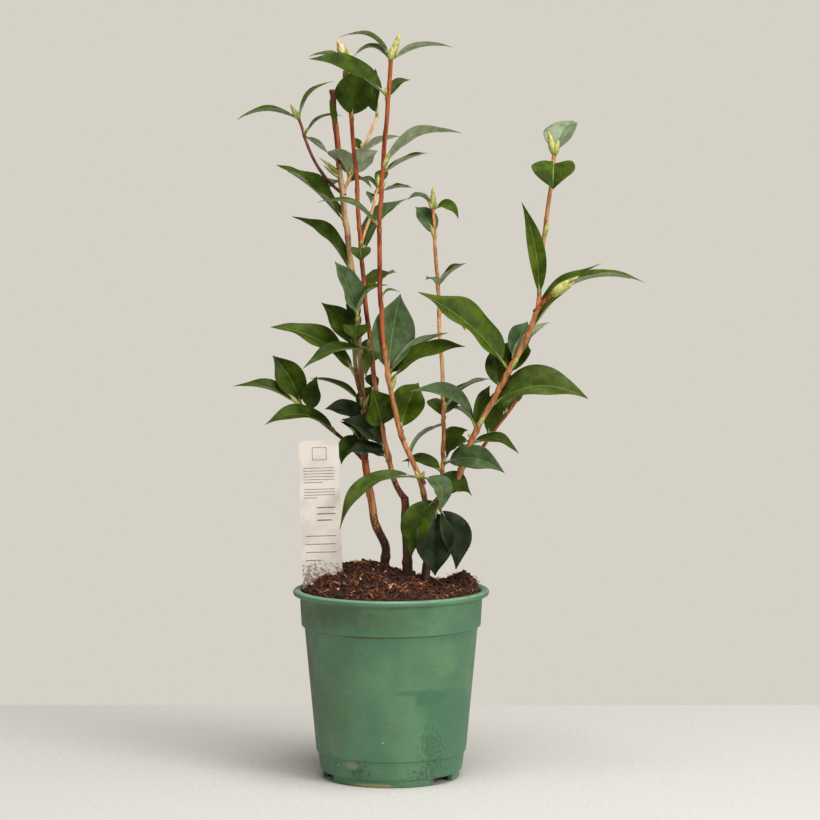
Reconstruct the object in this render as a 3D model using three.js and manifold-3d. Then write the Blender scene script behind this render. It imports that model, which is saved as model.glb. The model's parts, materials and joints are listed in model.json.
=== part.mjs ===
// A young camellia shrub in its one-litre nursery pot. Millimetres, +Z up.
// The origin is the middle of the pot's underside. +X runs to the right of the pot's front
// and +Y to its back, so in this file "across" is along X, "away" along Y and "up" along Z.

import * as THREE from 'three';
import { mergeVertices } from 'three/addons/utils/BufferGeometryUtils.js';
import Module from 'manifold-3d';

const wasm = await Module();
wasm.setup();

// Driving dimensions

const clearance = 0.3;

const potHeight = 125;
const lipRadius = 65;
const lipDepth = 3.8;
const bandRadius = 60.5;
const bandHeight = 24;
const bandStep = 2;
const wallThickness = 1.2;
const floorHeight = 4.6;
const stepHeight = 17.5;
const stepRadius = 48.7;
const footRadius = 45;
const footWidth = 3;
const footArc = 95;
const footTurn = -9.5;
const padRadius = 13;
const drainRadius = 4;
const drainCircle = 33;
const drainCount = 4;
const roundSegments = 36;

const soilEdgeHeight = 123;
const soilDome = 9;
const soilBumps = [
  { x: -22, y: 6, rise: 11, spread: 20 },
  { x: 52, y: -2, rise: 10, spread: 9 },
  { x: 30, y: 35, rise: -5, spread: 16 },
];

const labelWidth = 26.5;
const labelThickness = 0.6;
const labelTop = 224;
const labelShoulder = 124;
const labelPoint = 104;
const labelFoot = { x: -45, y: -5 };
const labelLean = 1.6;

const leafStations = [0, 0.1, 0.3, 0.55, 0.8, 1];
const leafHalfWidth = 0.2;
const leafFold = 26;
const leafMidThickness = 1;
const petioleHalfWidth = 0.9;
const budStations = [0, 0.35, 0.7, 1];
const budProfile = [0.6, 1, 0.75, 0.12];

// Closed solids to and from the joining library

function toSolid(geometry) {
  const bare = geometry.clone();
  bare.deleteAttribute('normal');
  bare.deleteAttribute('uv');
  const merged = mergeVertices(bare, 1e-4);
  const vertProperties = new Float32Array(merged.attributes.position.array);
  const triVerts = new Uint32Array(merged.index.array);
  return new wasm.Manifold(new wasm.Mesh({ numProp: 3, vertProperties, triVerts }));
}

function toGeometry(solid) {
  const mesh = solid.getMesh();
  const points = new Float32Array((mesh.vertProperties.length / mesh.numProp) * 3);
  for (let i = 0; i < points.length / 3; i += 1) {
    points.set(mesh.vertProperties.subarray(i * mesh.numProp, i * mesh.numProp + 3), i * 3);
  }
  const geometry = new THREE.BufferGeometry();
  geometry.setAttribute('position', new THREE.BufferAttribute(points, 3));
  geometry.setIndex(new THREE.BufferAttribute(new Uint32Array(mesh.triVerts), 1));
  return geometry;
}

function largestPiece(solid) {
  const pieces = solid.decompose();
  return pieces.reduce((best, piece) => (piece.volume() > best.volume() ? piece : best));
}

// A cylinder bent along a path. frameAt gives each ring's centre, side and top directions,
// and place turns a rim direction (s across the section, u up it) into millimetres.
function bentCylinder(stations, sides, frameAt, place) {
  const unit = new THREE.CylinderGeometry(1, 1, 1, sides, stations.length - 1);
  unit.deleteAttribute('normal');
  unit.deleteAttribute('uv');
  const tube = mergeVertices(unit, 1e-4);
  const points = tube.attributes.position;
  const frames = stations.map(frameAt);
  for (let i = 0; i < points.count; i += 1) {
    const ring = Math.round((points.getY(i) + 0.5) * (stations.length - 1));
    const frame = frames[ring];
    const [across, up] = place(stations[ring], points.getX(i), points.getZ(i));
    const point = frame.centre.clone().addScaledVector(frame.side, across).addScaledVector(frame.top, up);
    points.setXYZ(i, point.x, point.y, point.z);
  }
  return tube;
}

function evenStations(count) {
  return Array.from({ length: count + 1 }, (_, i) => i / count);
}

// Limbs: stems, boughs and the shoots inside each mass of foliage. A limb climbs at an even rate from foot
// to tip, and its lean across (degrees from upright at the foot and at the tip) bends it on the way.

function limbPoint(limb, t) {
  const [fx, fy, fz] = limb.foot;
  const [tx, ty, tz] = limb.tip;
  const third = (tz - fz) / 3;
  const a = fx + Math.tan(THREE.MathUtils.degToRad(limb.lean[0])) * third;
  const b = tx - Math.tan(THREE.MathUtils.degToRad(limb.lean[1])) * third;
  const s = 1 - t;
  const x = s * s * s * fx + 3 * s * s * t * a + 3 * s * t * t * b + t * t * t * tx;
  return new THREE.Vector3(x, fy + (ty - fy) * t, fz + (tz - fz) * t);
}

function limbPointAtHeight(limb, height) {
  const t = (height - limb.foot[2]) / (limb.tip[2] - limb.foot[2]);
  return limbPoint(limb, THREE.MathUtils.clamp(t, 0, 1));
}

function limbRadius(limb, t) {
  const taper = THREE.MathUtils.lerp(limb.radius[0], limb.radius[1], t);
  const rise = t * (limb.tip[2] - limb.foot[2]);
  return taper + (limb.flare ?? 0) * Math.exp(-rise / 5);
}

function limbSolid(limb, grow = 0) {
  const length = limbPoint(limb, 0).distanceTo(limbPoint(limb, 1));
  const steps = limb.steps ?? Math.max(3, Math.round(length / 22));
  const stations = evenStations(steps);
  if (limb.flare) {
    stations.splice(1, 0, 0.07, 0.16);
  }
  const frameAt = (t) => {
    const behind = limbPoint(limb, Math.max(0, t - 0.01));
    const along = limbPoint(limb, Math.min(1, t + 0.01)).sub(behind).normalize();
    const side = new THREE.Vector3(0, 1, 0).cross(along).normalize();
    const top = side.clone().cross(along).normalize();
    const centre = limbPoint(limb, t);
    const end = t === 0 ? -grow : grow;
    return { centre: t === 0 || t === 1 ? centre.addScaledVector(along, end) : centre, side, top };
  };
  const sides = limb.sides ?? 6;
  const swell = grow / Math.cos(Math.PI / sides);
  return toSolid(bentCylinder(stations, sides, frameAt, (t, s, u) => {
    const radius = limbRadius(limb, t) + swell;
    return [s * radius, u * radius];
  }));
}

// A leaf springs from the axis of its shoot at a given height. Its tip lies "across, away, up" from there.
// It arches by a share of its length, its blade folds up on both sides of the midrib,
// and turn rolls its upper face towards the front.

function leafOutline(t) {
  if (t <= leafStations[1]) {
    return 0;
  }
  const u = (t - leafStations[1]) / (1 - leafStations[1]);
  const tail = Math.max(0, (u - 0.6) / 0.4);
  return Math.sin(Math.PI * u ** 0.8) ** 0.9 * (1 - 0.3 * tail * tail);
}

function leafSolid(shoot, row) {
  const [height, across, away, up, turn = 0, arch = 0.12, wide = 1] = row;
  const joint = limbPointAtHeight(shoot, height);
  const chord = new THREE.Vector3(across, away, up);
  const length = chord.length();
  const ahead = chord.clone().normalize();
  const lift = new THREE.Vector3(0, 0, 1).addScaledVector(ahead, -ahead.z).normalize();
  const flank = ahead.clone().cross(lift).normalize();
  const tip = joint.clone().add(chord);
  const control = joint.clone().addScaledVector(chord, 0.5).addScaledVector(lift, 2 * arch * length);
  const midrib = new THREE.QuadraticBezierCurve3(joint, control, tip);
  const roll = THREE.MathUtils.degToRad(turn) * (across < 0 ? -1 : 1);
  const frameAt = (t) => {
    const along = midrib.getTangent(t);
    const flat = flank.clone().cross(along).normalize();
    const top = flat.multiplyScalar(Math.cos(roll)).addScaledVector(flank, Math.sin(roll)).normalize();
    const side = along.clone().cross(top).normalize();
    return { centre: midrib.getPoint(t), side, top };
  };
  const fold = Math.tan(THREE.MathUtils.degToRad(leafFold));
  return toSolid(bentCylinder(leafStations, 4, frameAt, (t, s, u) => {
    const blade = leafHalfWidth * wide * length * leafOutline(t);
    const halfWidth = Math.max(blade, petioleHalfWidth * (1 - 0.6 * t));
    const halfThickness = 0.5 * leafMidThickness * (t === 0 ? 1.5 : 1 - 0.4 * t);
    return [s * halfWidth, Math.abs(s) * blade * fold + u * halfThickness];
  }));
}

function budSolid(shoot, row) {
  const [height, across, away, up, radius] = row;
  const joint = limbPointAtHeight(shoot, height);
  const along = new THREE.Vector3(across, away, up);
  const ahead = along.clone().normalize();
  const side = new THREE.Vector3(0, 1, 0).cross(ahead).normalize();
  const top = side.clone().cross(ahead).normalize();
  const frameAt = (t) => ({ centre: joint.clone().addScaledVector(along, t), side, top });
  return toSolid(bentCylinder(budStations, 5, frameAt, (t, s, u) => {
    const swell = budProfile[budStations.indexOf(t)] * radius;
    return [s * swell, u * swell];
  }));
}

// Three stems rise from the soil: left, middle and right. The right one forks low into two boughs.

const limbs = {
  left_stem: {
    foot: [-4.6, 10, 131], tip: [-17.8, 9, 214], lean: [5, -2], radius: [3, 2.3], flare: 1.4, sides: 8,
  },
  middle_stem: {
    foot: [11.6, -1, 129], tip: [8.6, 0, 185], lean: [-3, -4], radius: [3.2, 2.6], flare: 2.2, sides: 8,
  },
  right_stem: {
    foot: [22.5, -9, 128], tip: [24.4, -8, 175], lean: [4, 0], radius: [2.8, 2.3], flare: 1.2, sides: 8,
  },
  middle_bough: {
    parent: 'middle_stem', foot: [8.5, 0, 185.5], tip: [-1.8, 2, 211], lean: [-38, -14], radius: [1.9, 1.75],
  },
  front_bough: {
    parent: 'right_stem', foot: [24, -8, 175.5], tip: [7.2, -9, 226], lean: [-4, -24], radius: [1.9, 1.7],
  },
  right_bough: {
    parent: 'right_stem', foot: [24.6, -8, 175.3], tip: [46, -9, 204.5], lean: [46, 24], radius: [2, 1.95],
  },
};

// Masses of foliage. Leaf rows: height of the joint, then across, away and up to the tip, then turn, arch
// and width where they differ from the usual. Bud rows: height, across, away, up, radius.

const foliage = {
  front_top_leaves: {
    parent: 'front_bough', foot: [7.2, -9, 226.3], tip: [0, -28, 472], lean: [-16, 4], radius: [1.65, 1.4],
    leaves: [
      [230, 12, 22, 31, 30, 0.08, 1.4],
      [263, 50, -16, 24, 35, 0.12, 0.85],
      [268, 40, 8, 27, -35, 0.1, 0.6],
      [266.5, 8, 14, 54, 40, 0.05, 1.3],
      [314, 13, -4, 8, 10, 0.36, 0.55],
      [362.5, -41, -8, 18, 10, 0.2, 0.5],
      [388, 20, -8, 2, 12, 0.08, 0.7],
      [399.5, 30, -8, 13, 12, 0.08, 0.7],
      [404, 51, -8, 21, -25, 0.18, 0.6],
      [447, 15, 14, 13, 20, 0.15, 0.85],
      [448.5, -51, -14, 24, 42, 0.1, 0.8],
      [473, -25, 13, 2, 15, 0.3, 0.6],
      [473, 40, -6, 8, -10, 0.13, 0.45],
      [473, -33, 4, 15, 10, 0.26, 0.45],
      [265.3, 18, 42, 18, 25, 0.1, 0.9],
      [280.3, 13, 37, 17, 15, 0.14, 1],
      [230.5, 10, 36, 15, 20, 0.12, 0.95],
    ],
    buds: [
      [258, 4, -4, 10, 1.6],
      [402, 5, -2, 13, 1.7],
      [472, 6, -1, 18, 2.2],
      [472, 1, -2, 9, 2.4],
    ],
  },
  middle_top_leaves: {
    parent: 'middle_bough', foot: [-1.8, 2, 211.3], tip: [-29.5, 9, 475], lean: [-12, -6],
    radius: [1.7, 1.3],
    leaves: [
      [211.5, -27, -12, 5, 40, 0.12, 1.15],
      [216, -30, -9, 22, 48, 0.1, 1.25],
      [230.5, -7, -12, 28, 115, 0.02, 2.05],
      [255.5, -7, 14, 10, 20, 0.12, 1.15],
      [285, -3, -8, -19, 30, 0.15, 0.95],
      [284, -44, -26, -12, 20, 0.11, 0.62],
      [320.5, 21, 28, 13, 0, 0.1, 1.15],
      [350.5, 0, -9, -9, 0, 0.12, 2.6],
      [345, 31, 26, 38, 0, 0.12, 0.9],
      [434.5, 6, -7, 36, 130, 0.02, 1.7],
      [473, -25, 6, 3, 10, 0.14, 0.7],
      [436.3, 2, 38, 17, 20, 0.12, 0.95],
      [451.3, 2, 32, 14, 15, 0.14, 0.9],
    ],
    buds: [
      [474, -6, 0, 13, 3.2],
      [472, 3, 2, 7, 2],
    ],
  },
  left_top_leaves: {
    parent: 'left_stem', foot: [-17.8, 9, 214.3], tip: [-39, 33, 455], lean: [0, -4], radius: [2, 1.9],
    leaves: [
      [218, -16, -8, 18, 40, 0.1, 1.15],
      [224.5, -15, -10, -17, 40, 0.2, 1.2],
      [231, -26, -8, 13, 45, 0.16, 1.4],
      [241.5, 6, 5, 17, 30, 0.12, 1.6],
      [247, -36, 11, 16, 12, 0.12, 0.45],
      [332, -40, -8, 39, 30, 0.12, 0.9],
      [366, -46, -11, 39, 26, 0.07, 0.95],
      [394, -9, 22, -5, 0, 0.1],
      [430, -4, -8, 18, 120, 0.03, 0.65],
      [226.3, 18, 41, 18, 20, 0.12, 0.95],
      [268.3, 17, 39, 18, 25, 0.1, 0.9],
      [289.3, -20, 40, 12, 15, 0.14, 1],
      [325.3, 2, 40, -14, 20, 0.1, 0.9],
      [409.3, 7, 36, -13, 20, 0.12, 0.9],
    ],
    buds: [
      [243, 4, -4, 11, 1.5],
      [399, -14, -3, 11, 1.3],
      [396, -12, -5, 9, 1.3],
    ],
  },
  inner_leaves: {
    parent: 'left_top_leaves', foot: [-18.8, 12.7, 251], tip: [-21.5, -6, 306], lean: [-20, 12],
    radius: [1.5, 1.2],
    leaves: [
      [265.5, -57, -8, 33, 38, 0.12, 0.8],
      [283.5, -22, 3, 31, 60, 0.08, 1.1],
      [300.5, 0, -10, -11, 0, 0.12, 2.95],
      [301, -7, 16, 13, 0, 0.12, 1.1],
      [304, -15, -6, 38, 60, 0.05, 1.3],
      [305.5, 20, -8, 21, 25, 0.25, 0.9],
    ],
    buds: [
      [263, -7, -3, 14, 1.2],
    ],
  },
  left_twig_leaves: {
    parent: 'left_top_leaves', foot: [-32.1, 26.1, 386], tip: [-62.5, 46, 437], lean: [-52, -20],
    radius: [1.05, 0.95],
    leaves: [
      [424.5, 16, 8, -12, -40, 0.05, 0.55],
      [424.5, 26, -6, 13, 12, 0.22, 0.4],
      [436, -41, -6, -1, 14, 0.16, 0.5],
      [436, 24, 4, 25, 10, 0.2, 0.4],
    ],
    buds: [
      [435, -6, -4, 11, 1.7],
    ],
  },
  back_twig_leaves: {
    parent: 'left_top_leaves', foot: [-32.1, 25.9, 384], tip: [-9.3, 44, 438], lean: [14, 22],
    radius: [1.1, 0.95],
    leaves: [
      [393, 16, 20, -4, 20, 0.2, 0.8],
      [396.5, -15, -20, 17, -10, 0.18, 1.35],
      [397.5, 19, -4, 17, -60, 0.08, 1.5],
      [411, 28, 8, 13, -25, 0.1, 0.8],
      [414, -6, 10, 9, 20, 0.1],
      [437, -1, 14, 33, 60, 0.05, 1.2],
    ],
    buds: [],
  },
  middle_twig_leaves: {
    parent: 'middle_top_leaves', foot: [-19.9, 5.7, 352], tip: [-8.3, 14, 391], lean: [18, 16],
    radius: [1, 0.9],
    leaves: [
      [383, -3, 22, -4, 0, 0.2],
      [389, -13, 3, 7, 10, 0.2],
      [390, 5, 17, 12, 10, 0.1],
    ],
    buds: [
      [390, 0, -1, 9, 1.5],
    ],
  },
  slender_shoot_leaves: {
    parent: 'right_bough', foot: [33, -8.3, 184], tip: [27.8, 36, 376], lean: [4, -3], radius: [1.45, 1.15],
    leaves: [
      [202, -27, 8, 7, 30, 0.16, 1],
      [208, 40, -30, -3, 60, 0.14, 0.85],
      [214, 17, 16, 15, 40, 0.2],
      [234, -23, 12, -30, 10, 0.2, 0.5],
      [238, -11, 20, 10, 20, 0.12],
      [239, 14, 20, 15, 30, 0.1],
      [243, 33, 12, 20, -10, 0.15, 0.8],
      [324, 19, -8, 16, 20, 0.1],
      [324, -8, -14, 5, 0, 0.2],
      [357, -13, 14, 20, 30, 0.1, 1.2],
      [375, 17, -8, -6, 45, 0.32],
      [376, -17, -9, 6, 20, 0.28],
      [190, 12, 36, -4, 15, 0.12, 0.9],
      [220, 18, 38, -14, 25, 0.14, 0.95],
      [244, 18, 36, -9, 20, 0.1, 0.9],
      [307, 18, 38, -14, 15, 0.12, 0.9],
    ],
    buds: [
      [356, -3, -4, 10, 1.3],
      [375, 0, -1, 16, 2],
      [375, -4, -2, 9, 1.3],
    ],
  },
  right_lower_leaves: {
    parent: 'right_bough', foot: [46, -9, 204.8], tip: [96, -28, 313.7], lean: [14, 14], radius: [1.9, 1.7],
    leaves: [
      [224, -16, 6, -12, 65, 0.25, 1.15],
      [222, 32, -4, -6, 30, 0.2, 0.85],
      [230, 10, 14, 30, 70, 0.1],
      [231.5, -44, -12, 26, 45, 0.22, 0.64],
      [246, 65, -14, 7, 42, 0.17],
      [258, -2, 14, 29, 20, 0.08, 1.15],
      [267, 15, 24, 22, 25, 0.1, 1.35],
      [270.5, -60, -6, 52, 42, 0.07, 0.85],
      [271, 27, 16, 31, -40, 0.1, 0.8],
      [276, 10, 24, 26, 20, 0.1],
      [294, 48, 6, 47, 22, 0.08, 0.65],
      [261.8, 18, 40, -9, 20, 0.12, 0.95],
    ],
    buds: [
      [233, 5, -5, 10, 1.6],
      [272, 6, -4, 10, 1.5],
    ],
  },
  right_top_leaves: {
    parent: 'right_lower_leaves', foot: [96, -28, 314], tip: [106.5, -16, 413], lean: [0, 4],
    radius: [1.5, 1.3],
    leaves: [
      [315, -11, 9, 66, 40, 0.07, 0.42],
      [407, -1, -14, -18, 0, 0.12, 3.1],
      [411, 14, 26, 23, 0, 0.1, 1.5],
    ],
    buds: [
      [357, 3, -1, 13, 1.4],
      [411, -4, -2, 16, 2.4],
      [411, 3, 0, 10, 2],
    ],
  },
  right_twig_leaves: {
    parent: 'right_lower_leaves', foot: [94.5, -27.6, 311], tip: [106.5, -36, 323], lean: [40, 50],
    radius: [1.2, 1.1],
    leaves: [
      [321, 60, -4, 8, 10, 0.14, 0.55],
    ],
    buds: [
      [321, 17, -3, 12, 3.3],
    ],
  },
  right_low_leaves: {
    parent: 'right_bough', foot: [44, -8.6, 202], tip: [83.5, 18, 249], lean: [46, 38], radius: [1.3, 1.1],
    leaves: [
      [224, 8, 14, 33, 60, 0.1],
      [238, 12, 38, 10, 0, 0.15],
    ],
    buds: [],
  },
  low_left_leaves: {
    parent: 'left_stem', foot: [-17.3, 9, 209], tip: [-60, 30, 243.5], lean: [-46, -58],
    radius: [1.25, 1.05],
    leaves: [
      [226, -48, -12, 7, 30, 0.2, 0.85],
      [240, 5, -10, 25, 130, 0.02, 1.25],
      [245, -20, 9, 34, 65, 0.08, 1.2],
      [245, -46, -4, 14, 22, 0.12, 0.7],
      [215, 17, 38, 17, 20, 0.12, 0.95],
    ],
    buds: [
      [244, -9, -4, 9, 1.8],
    ],
  },
  low_front_leaves: {
    parent: 'front_bough', foot: [21, -8.5, 197], tip: [19.5, -15, 200.5], lean: [-10, -10],
    radius: [1.4, 1.2],
    leaves: [
      [201, -53, -10, -34, 20, 0.23, 0.7],
      [201, 12, -8, -22, 25, 0.38, 1.4],
    ],
    buds: [
      [199.5, 2, -5, 6, 1.3],
    ],
  },
  foot_leaves: {
    parent: 'right_stem', foot: [24, -8, 168], tip: [31.5, -18, 188], lean: [30, 12], radius: [1.6, 1.3],
    leaves: [
      [188, -18, -8, -39, 50, 0.14, 1.15],
      [182, -1, -6, -46, 10, 0.12, 1.4],
      [182, 12.5, -5, -42, 40, 0.12, 1.2],
      [184, 23, 8, 3, 50, 0.42, 1.75],
    ],
    buds: [],
  },
};

// Pot, soil and label

function latheSolid(points) {
  const outline = points.map(([r, z]) => new THREE.Vector2(r, z));
  const turned = new THREE.LatheGeometry(outline, roundSegments);
  turned.rotateX(Math.PI / 2);
  return toSolid(turned);
}

function boxSolid(width, depth, height, x, y, z, turn = 0) {
  const box = new THREE.BoxGeometry(width, depth, height);
  box.translate(x, y, z);
  box.rotateZ(THREE.MathUtils.degToRad(turn));
  return toSolid(box);
}

const wallTop = potHeight - lipDepth;
const bandFoot = wallTop - bandHeight + lipDepth;
const wallFoot = [footRadius + 2.2, floorHeight + 1.4];
const bandInner = bandRadius - wallThickness;

function potSolid() {
  const outside = [
    [0, 0], [padRadius, 0], [padRadius + 1, floorHeight], [wallFoot[0] - 1, floorHeight], wallFoot,
    [stepRadius, stepHeight], [stepRadius + 1.4, stepHeight + 0.6],
    [bandRadius - 1.1 - bandStep, bandFoot - 0.6], [bandRadius - 1.1, bandFoot + 0.4], [bandRadius, wallTop],
    [lipRadius - 0.5, wallTop + 0.3], [lipRadius, wallTop + 1.2], [lipRadius, potHeight - 1],
    [lipRadius - 0.9, potHeight],
  ];
  const inside = [
    [bandInner + 0.4, potHeight], [bandInner, potHeight - 1], [bandInner - 1.1, bandFoot + 1.2],
    [bandInner - 1.1 - bandStep, bandFoot], [stepRadius + 0.2, stepHeight + 0.4],
    [wallFoot[0] - wallThickness, floorHeight + 3], [wallFoot[0] - 3, floorHeight + 1.6],
    [0, floorHeight + 1.6],
  ];
  let pot = latheSolid([...outside, ...inside]);
  const ring = latheSolid([
    [footRadius - footWidth, 0], [footRadius, 0], [footRadius + 0.6, floorHeight + 0.4],
    [footRadius - footWidth - 0.6, floorHeight + 0.4], [footRadius - footWidth, 0],
  ]);
  const gapWidth = 2 * footRadius * Math.sin(THREE.MathUtils.degToRad((120 - footArc) / 2));
  let feet = ring;
  for (let i = 0; i < 3; i += 1) {
    const turn = -90 + footTurn + 60 + i * 120;
    feet = feet.subtract(boxSolid(footRadius, gapWidth, 2 * floorHeight - 0.4, footRadius, 0, 0, turn));
  }
  pot = pot.add(feet);
  for (let i = 0; i < drainCount; i += 1) {
    const angle = ((i + 0.5) / drainCount) * 2 * Math.PI;
    const drill = new THREE.CylinderGeometry(drainRadius, drainRadius, 4 * floorHeight, 8);
    drill.rotateX(Math.PI / 2);
    drill.translate(drainCircle * Math.cos(angle), drainCircle * Math.sin(angle), floorHeight);
    pot = pot.subtract(toSolid(drill));
  }
  return pot;
}

function soilHeight(x, y) {
  const reach = Math.min(1, Math.hypot(x, y) / bandInner);
  const dome = soilEdgeHeight + soilDome * (1 - reach * reach) ** 0.6;
  return soilBumps.reduce((height, bump) => {
    const far = ((x - bump.x) ** 2 + (y - bump.y) ** 2) / (2 * bump.spread ** 2);
    return height + bump.rise * Math.exp(-far);
  }, dome);
}

function soilSolid(cuts) {
  const gap = clearance + 0.15;
  const floor = floorHeight + 1.6 + gap;
  const edge = bandInner - gap - 0.3;
  const rings = [1, 0.93, 0.8, 0.62, 0.42, 0.2];
  const profile = [
    [0, floor], [wallFoot[0] - 3.4, floor], [stepRadius - gap, stepHeight + 1],
    [bandInner - 1.1 - bandStep - gap, bandFoot - 0.2], [bandInner - 1.2 - gap, bandFoot + 1.6],
    ...rings.map((share) => [edge * share, soilEdgeHeight - 2 + share]), [0, soilEdgeHeight],
  ];
  const outline = profile.map(([r, z]) => new THREE.Vector2(r, z));
  const turned = new THREE.LatheGeometry(outline, roundSegments);
  turned.rotateX(Math.PI / 2);
  const points = turned.attributes.position;
  for (let i = 0; i < points.count; i += 1) {
    if (points.getZ(i) > soilEdgeHeight - 3) {
      points.setZ(i, soilHeight(points.getX(i), points.getY(i)));
    }
  }
  return cuts.reduce((soil, cut) => soil.subtract(cut), toSolid(turned));
}

function labelSolid(grow = 0) {
  const half = labelWidth / 2 + grow;
  const corner = 4;
  const shape = new THREE.Shape();
  shape.moveTo(0, labelPoint - 2 * grow);
  shape.lineTo(half, labelShoulder);
  shape.lineTo(half, labelTop - corner);
  shape.quadraticCurveTo(half, labelTop + grow, half - corner, labelTop + grow);
  shape.lineTo(-half + corner, labelTop + grow);
  shape.quadraticCurveTo(-half, labelTop + grow, -half, labelTop - corner);
  shape.lineTo(-half, labelShoulder);
  const depth = labelThickness + 2 * grow;
  const plate = new THREE.ExtrudeGeometry(shape, { depth, bevelEnabled: false, curveSegments: 3 });
  plate.translate(0, 0, -depth / 2);
  plate.rotateX(Math.PI / 2);
  plate.translate(0, 0, -labelShoulder);
  plate.rotateY(THREE.MathUtils.degToRad(-labelLean));
  plate.translate(labelFoot.x, labelFoot.y, labelShoulder);
  return toSolid(plate);
}

// Colours

const materials = {
  pot: new THREE.MeshStandardMaterial({ color: 0x587f63, roughness: 0.55, metalness: 0 }),
  soil: new THREE.MeshStandardMaterial({ color: 0x3a241e, roughness: 0.95, metalness: 0 }),
  label: new THREE.MeshStandardMaterial({ color: 0xd9d2cc, roughness: 0.6, metalness: 0 }),
  bark: new THREE.MeshStandardMaterial({ color: 0x8a4a2a, roughness: 0.7, metalness: 0 }),
  leaf: new THREE.MeshStandardMaterial({ color: 0x3f5b1e, roughness: 0.4, metalness: 0 }),
};

// Assembly

const group = new THREE.Group();

function addNode(name, solid, material) {
  const mesh = new THREE.Mesh(toGeometry(solid), material);
  mesh.name = name;
  group.add(mesh);
}

const plant = { ...limbs, ...foliage };
const names = Object.keys(plant);
const grown = Object.fromEntries(names.map((name) => [name, limbSolid(plant[name], clearance)]));

// A limb is cut clear of the limbs before it, and a mass of every limb and shoot but those it carries.
// What such a cut leaves loose is dropped.
function clearOfOthers(name, solid) {
  const own = names.indexOf(name);
  const clear = names.reduce((rest, other, place) => {
    const kept = other === name || plant[other].parent === name || (name in limbs && place > own);
    return kept ? rest : rest.subtract(grown[other]);
  }, solid);
  return largestPiece(clear);
}

const footPockets = names.filter((name) => !plant[name].parent).map((name) => grown[name]);
const labelSpace = labelSolid(clearance);
addNode('pot', potSolid(), materials.pot);
addNode('soil', soilSolid([...footPockets, labelSpace]), materials.soil);
addNode('plant_label', labelSolid(), materials.label);

for (const name of Object.keys(limbs)) {
  addNode(name, clearOfOthers(name, limbSolid(limbs[name])), materials.bark);
}

for (const [name, shoot] of Object.entries(foliage)) {
  const leaves = shoot.leaves.map((row) => leafSolid(shoot, row));
  const buds = shoot.buds.map((row) => budSolid(shoot, row));
  const whole = [...leaves, ...buds].reduce((mass, piece) => mass.add(piece), limbSolid(shoot));
  addNode(name, clearOfOthers(name, whole.subtract(labelSpace)), materials.leaf);
}

export default group;
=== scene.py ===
# A young camellia shrub in its one-litre nursery pot. Sizes are in millimetres up to the point where a
# mesh is made, and every piece has its place in its mesh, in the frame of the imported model.

import json
import math

import bmesh
import bpy
import numpy as np
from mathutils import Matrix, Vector

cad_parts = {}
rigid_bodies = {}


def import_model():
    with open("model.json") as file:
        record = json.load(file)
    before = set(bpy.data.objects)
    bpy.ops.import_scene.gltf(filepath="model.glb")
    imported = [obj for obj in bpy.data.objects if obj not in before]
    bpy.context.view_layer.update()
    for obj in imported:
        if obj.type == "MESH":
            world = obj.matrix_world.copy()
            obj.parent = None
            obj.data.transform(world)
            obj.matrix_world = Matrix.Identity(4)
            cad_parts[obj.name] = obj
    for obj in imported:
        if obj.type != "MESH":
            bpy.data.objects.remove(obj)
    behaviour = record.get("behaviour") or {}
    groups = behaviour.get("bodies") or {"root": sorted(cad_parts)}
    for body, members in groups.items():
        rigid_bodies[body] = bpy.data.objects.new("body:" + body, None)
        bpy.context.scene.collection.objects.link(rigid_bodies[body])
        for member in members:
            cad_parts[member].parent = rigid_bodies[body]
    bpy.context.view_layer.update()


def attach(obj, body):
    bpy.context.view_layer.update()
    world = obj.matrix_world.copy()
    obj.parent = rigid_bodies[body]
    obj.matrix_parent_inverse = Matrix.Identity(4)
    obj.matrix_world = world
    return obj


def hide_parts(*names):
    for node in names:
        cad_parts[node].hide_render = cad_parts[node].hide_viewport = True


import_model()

# Camera: it stands two metres in front of the pot and a little above the middle of the plant.

camera_place = Vector((0.0125, -2.0, 0.395))
camera_target = Vector((0.0125, 0.0, 0.2437))

camera_lens = bpy.data.cameras.new("camera")
camera_lens.sensor_width = 36.0
camera_lens.lens = 133.42
camera = bpy.data.objects.new("camera", camera_lens)
camera.location = camera_place
camera.rotation_euler = (camera_target - camera_place).to_track_quat("-Z", "Y").to_euler()
bpy.context.scene.collection.objects.link(camera)
bpy.context.scene.camera = camera

# Pot: a thermoformed one-litre nursery pot of green polypropylene. The lip, the stacking band and the low
# step are pressed into one thin wall. It stands on three raised foot arcs and a round pad, with drain holes.

pot_height = 125.0
lip_radius = 65.0
lip_depth = 3.8
band_radius = 60.5
band_height = 24.0
band_step = 2.0
band_draft = 1.1
wall = 1.2
floor_height = 4.6
floor_depth = 1.6
step_height = 17.5
step_radius = 48.7
foot_radius = 45.0
foot_width = 3.0
foot_arc = 95.0
foot_turn = -9.5
pad_radius = 13.0
drain_radius = 4.0
drain_circle = 33.0
drain_count = 4
drain_sides = 28
drill_reach = (-6.0, 14.0)
foot_ease = 0.5
foot_steps = 40
edge_round = 0.6
pot_sides = 144
sharp_angle = 38.0

wall_top = pot_height - lip_depth
band_foot = wall_top - band_height + lip_depth
band_inner = band_radius - wall
wall_foot = (foot_radius + 2.2, floor_height + 1.4)


def linear(colour):
    """An sRGB hex colour as linear red, green, blue and alpha."""
    parts = [int(colour[i : i + 2], 16) / 255 for i in (1, 3, 5)]
    return [c / 12.92 if c <= 0.04045 else ((c + 0.055) / 1.055) ** 2.4 for c in parts] + [1.0]


def per(size):
    """The scale at which a pattern on coordinates in metres repeats every so many millimetres."""
    return 1000.0 / size


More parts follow.
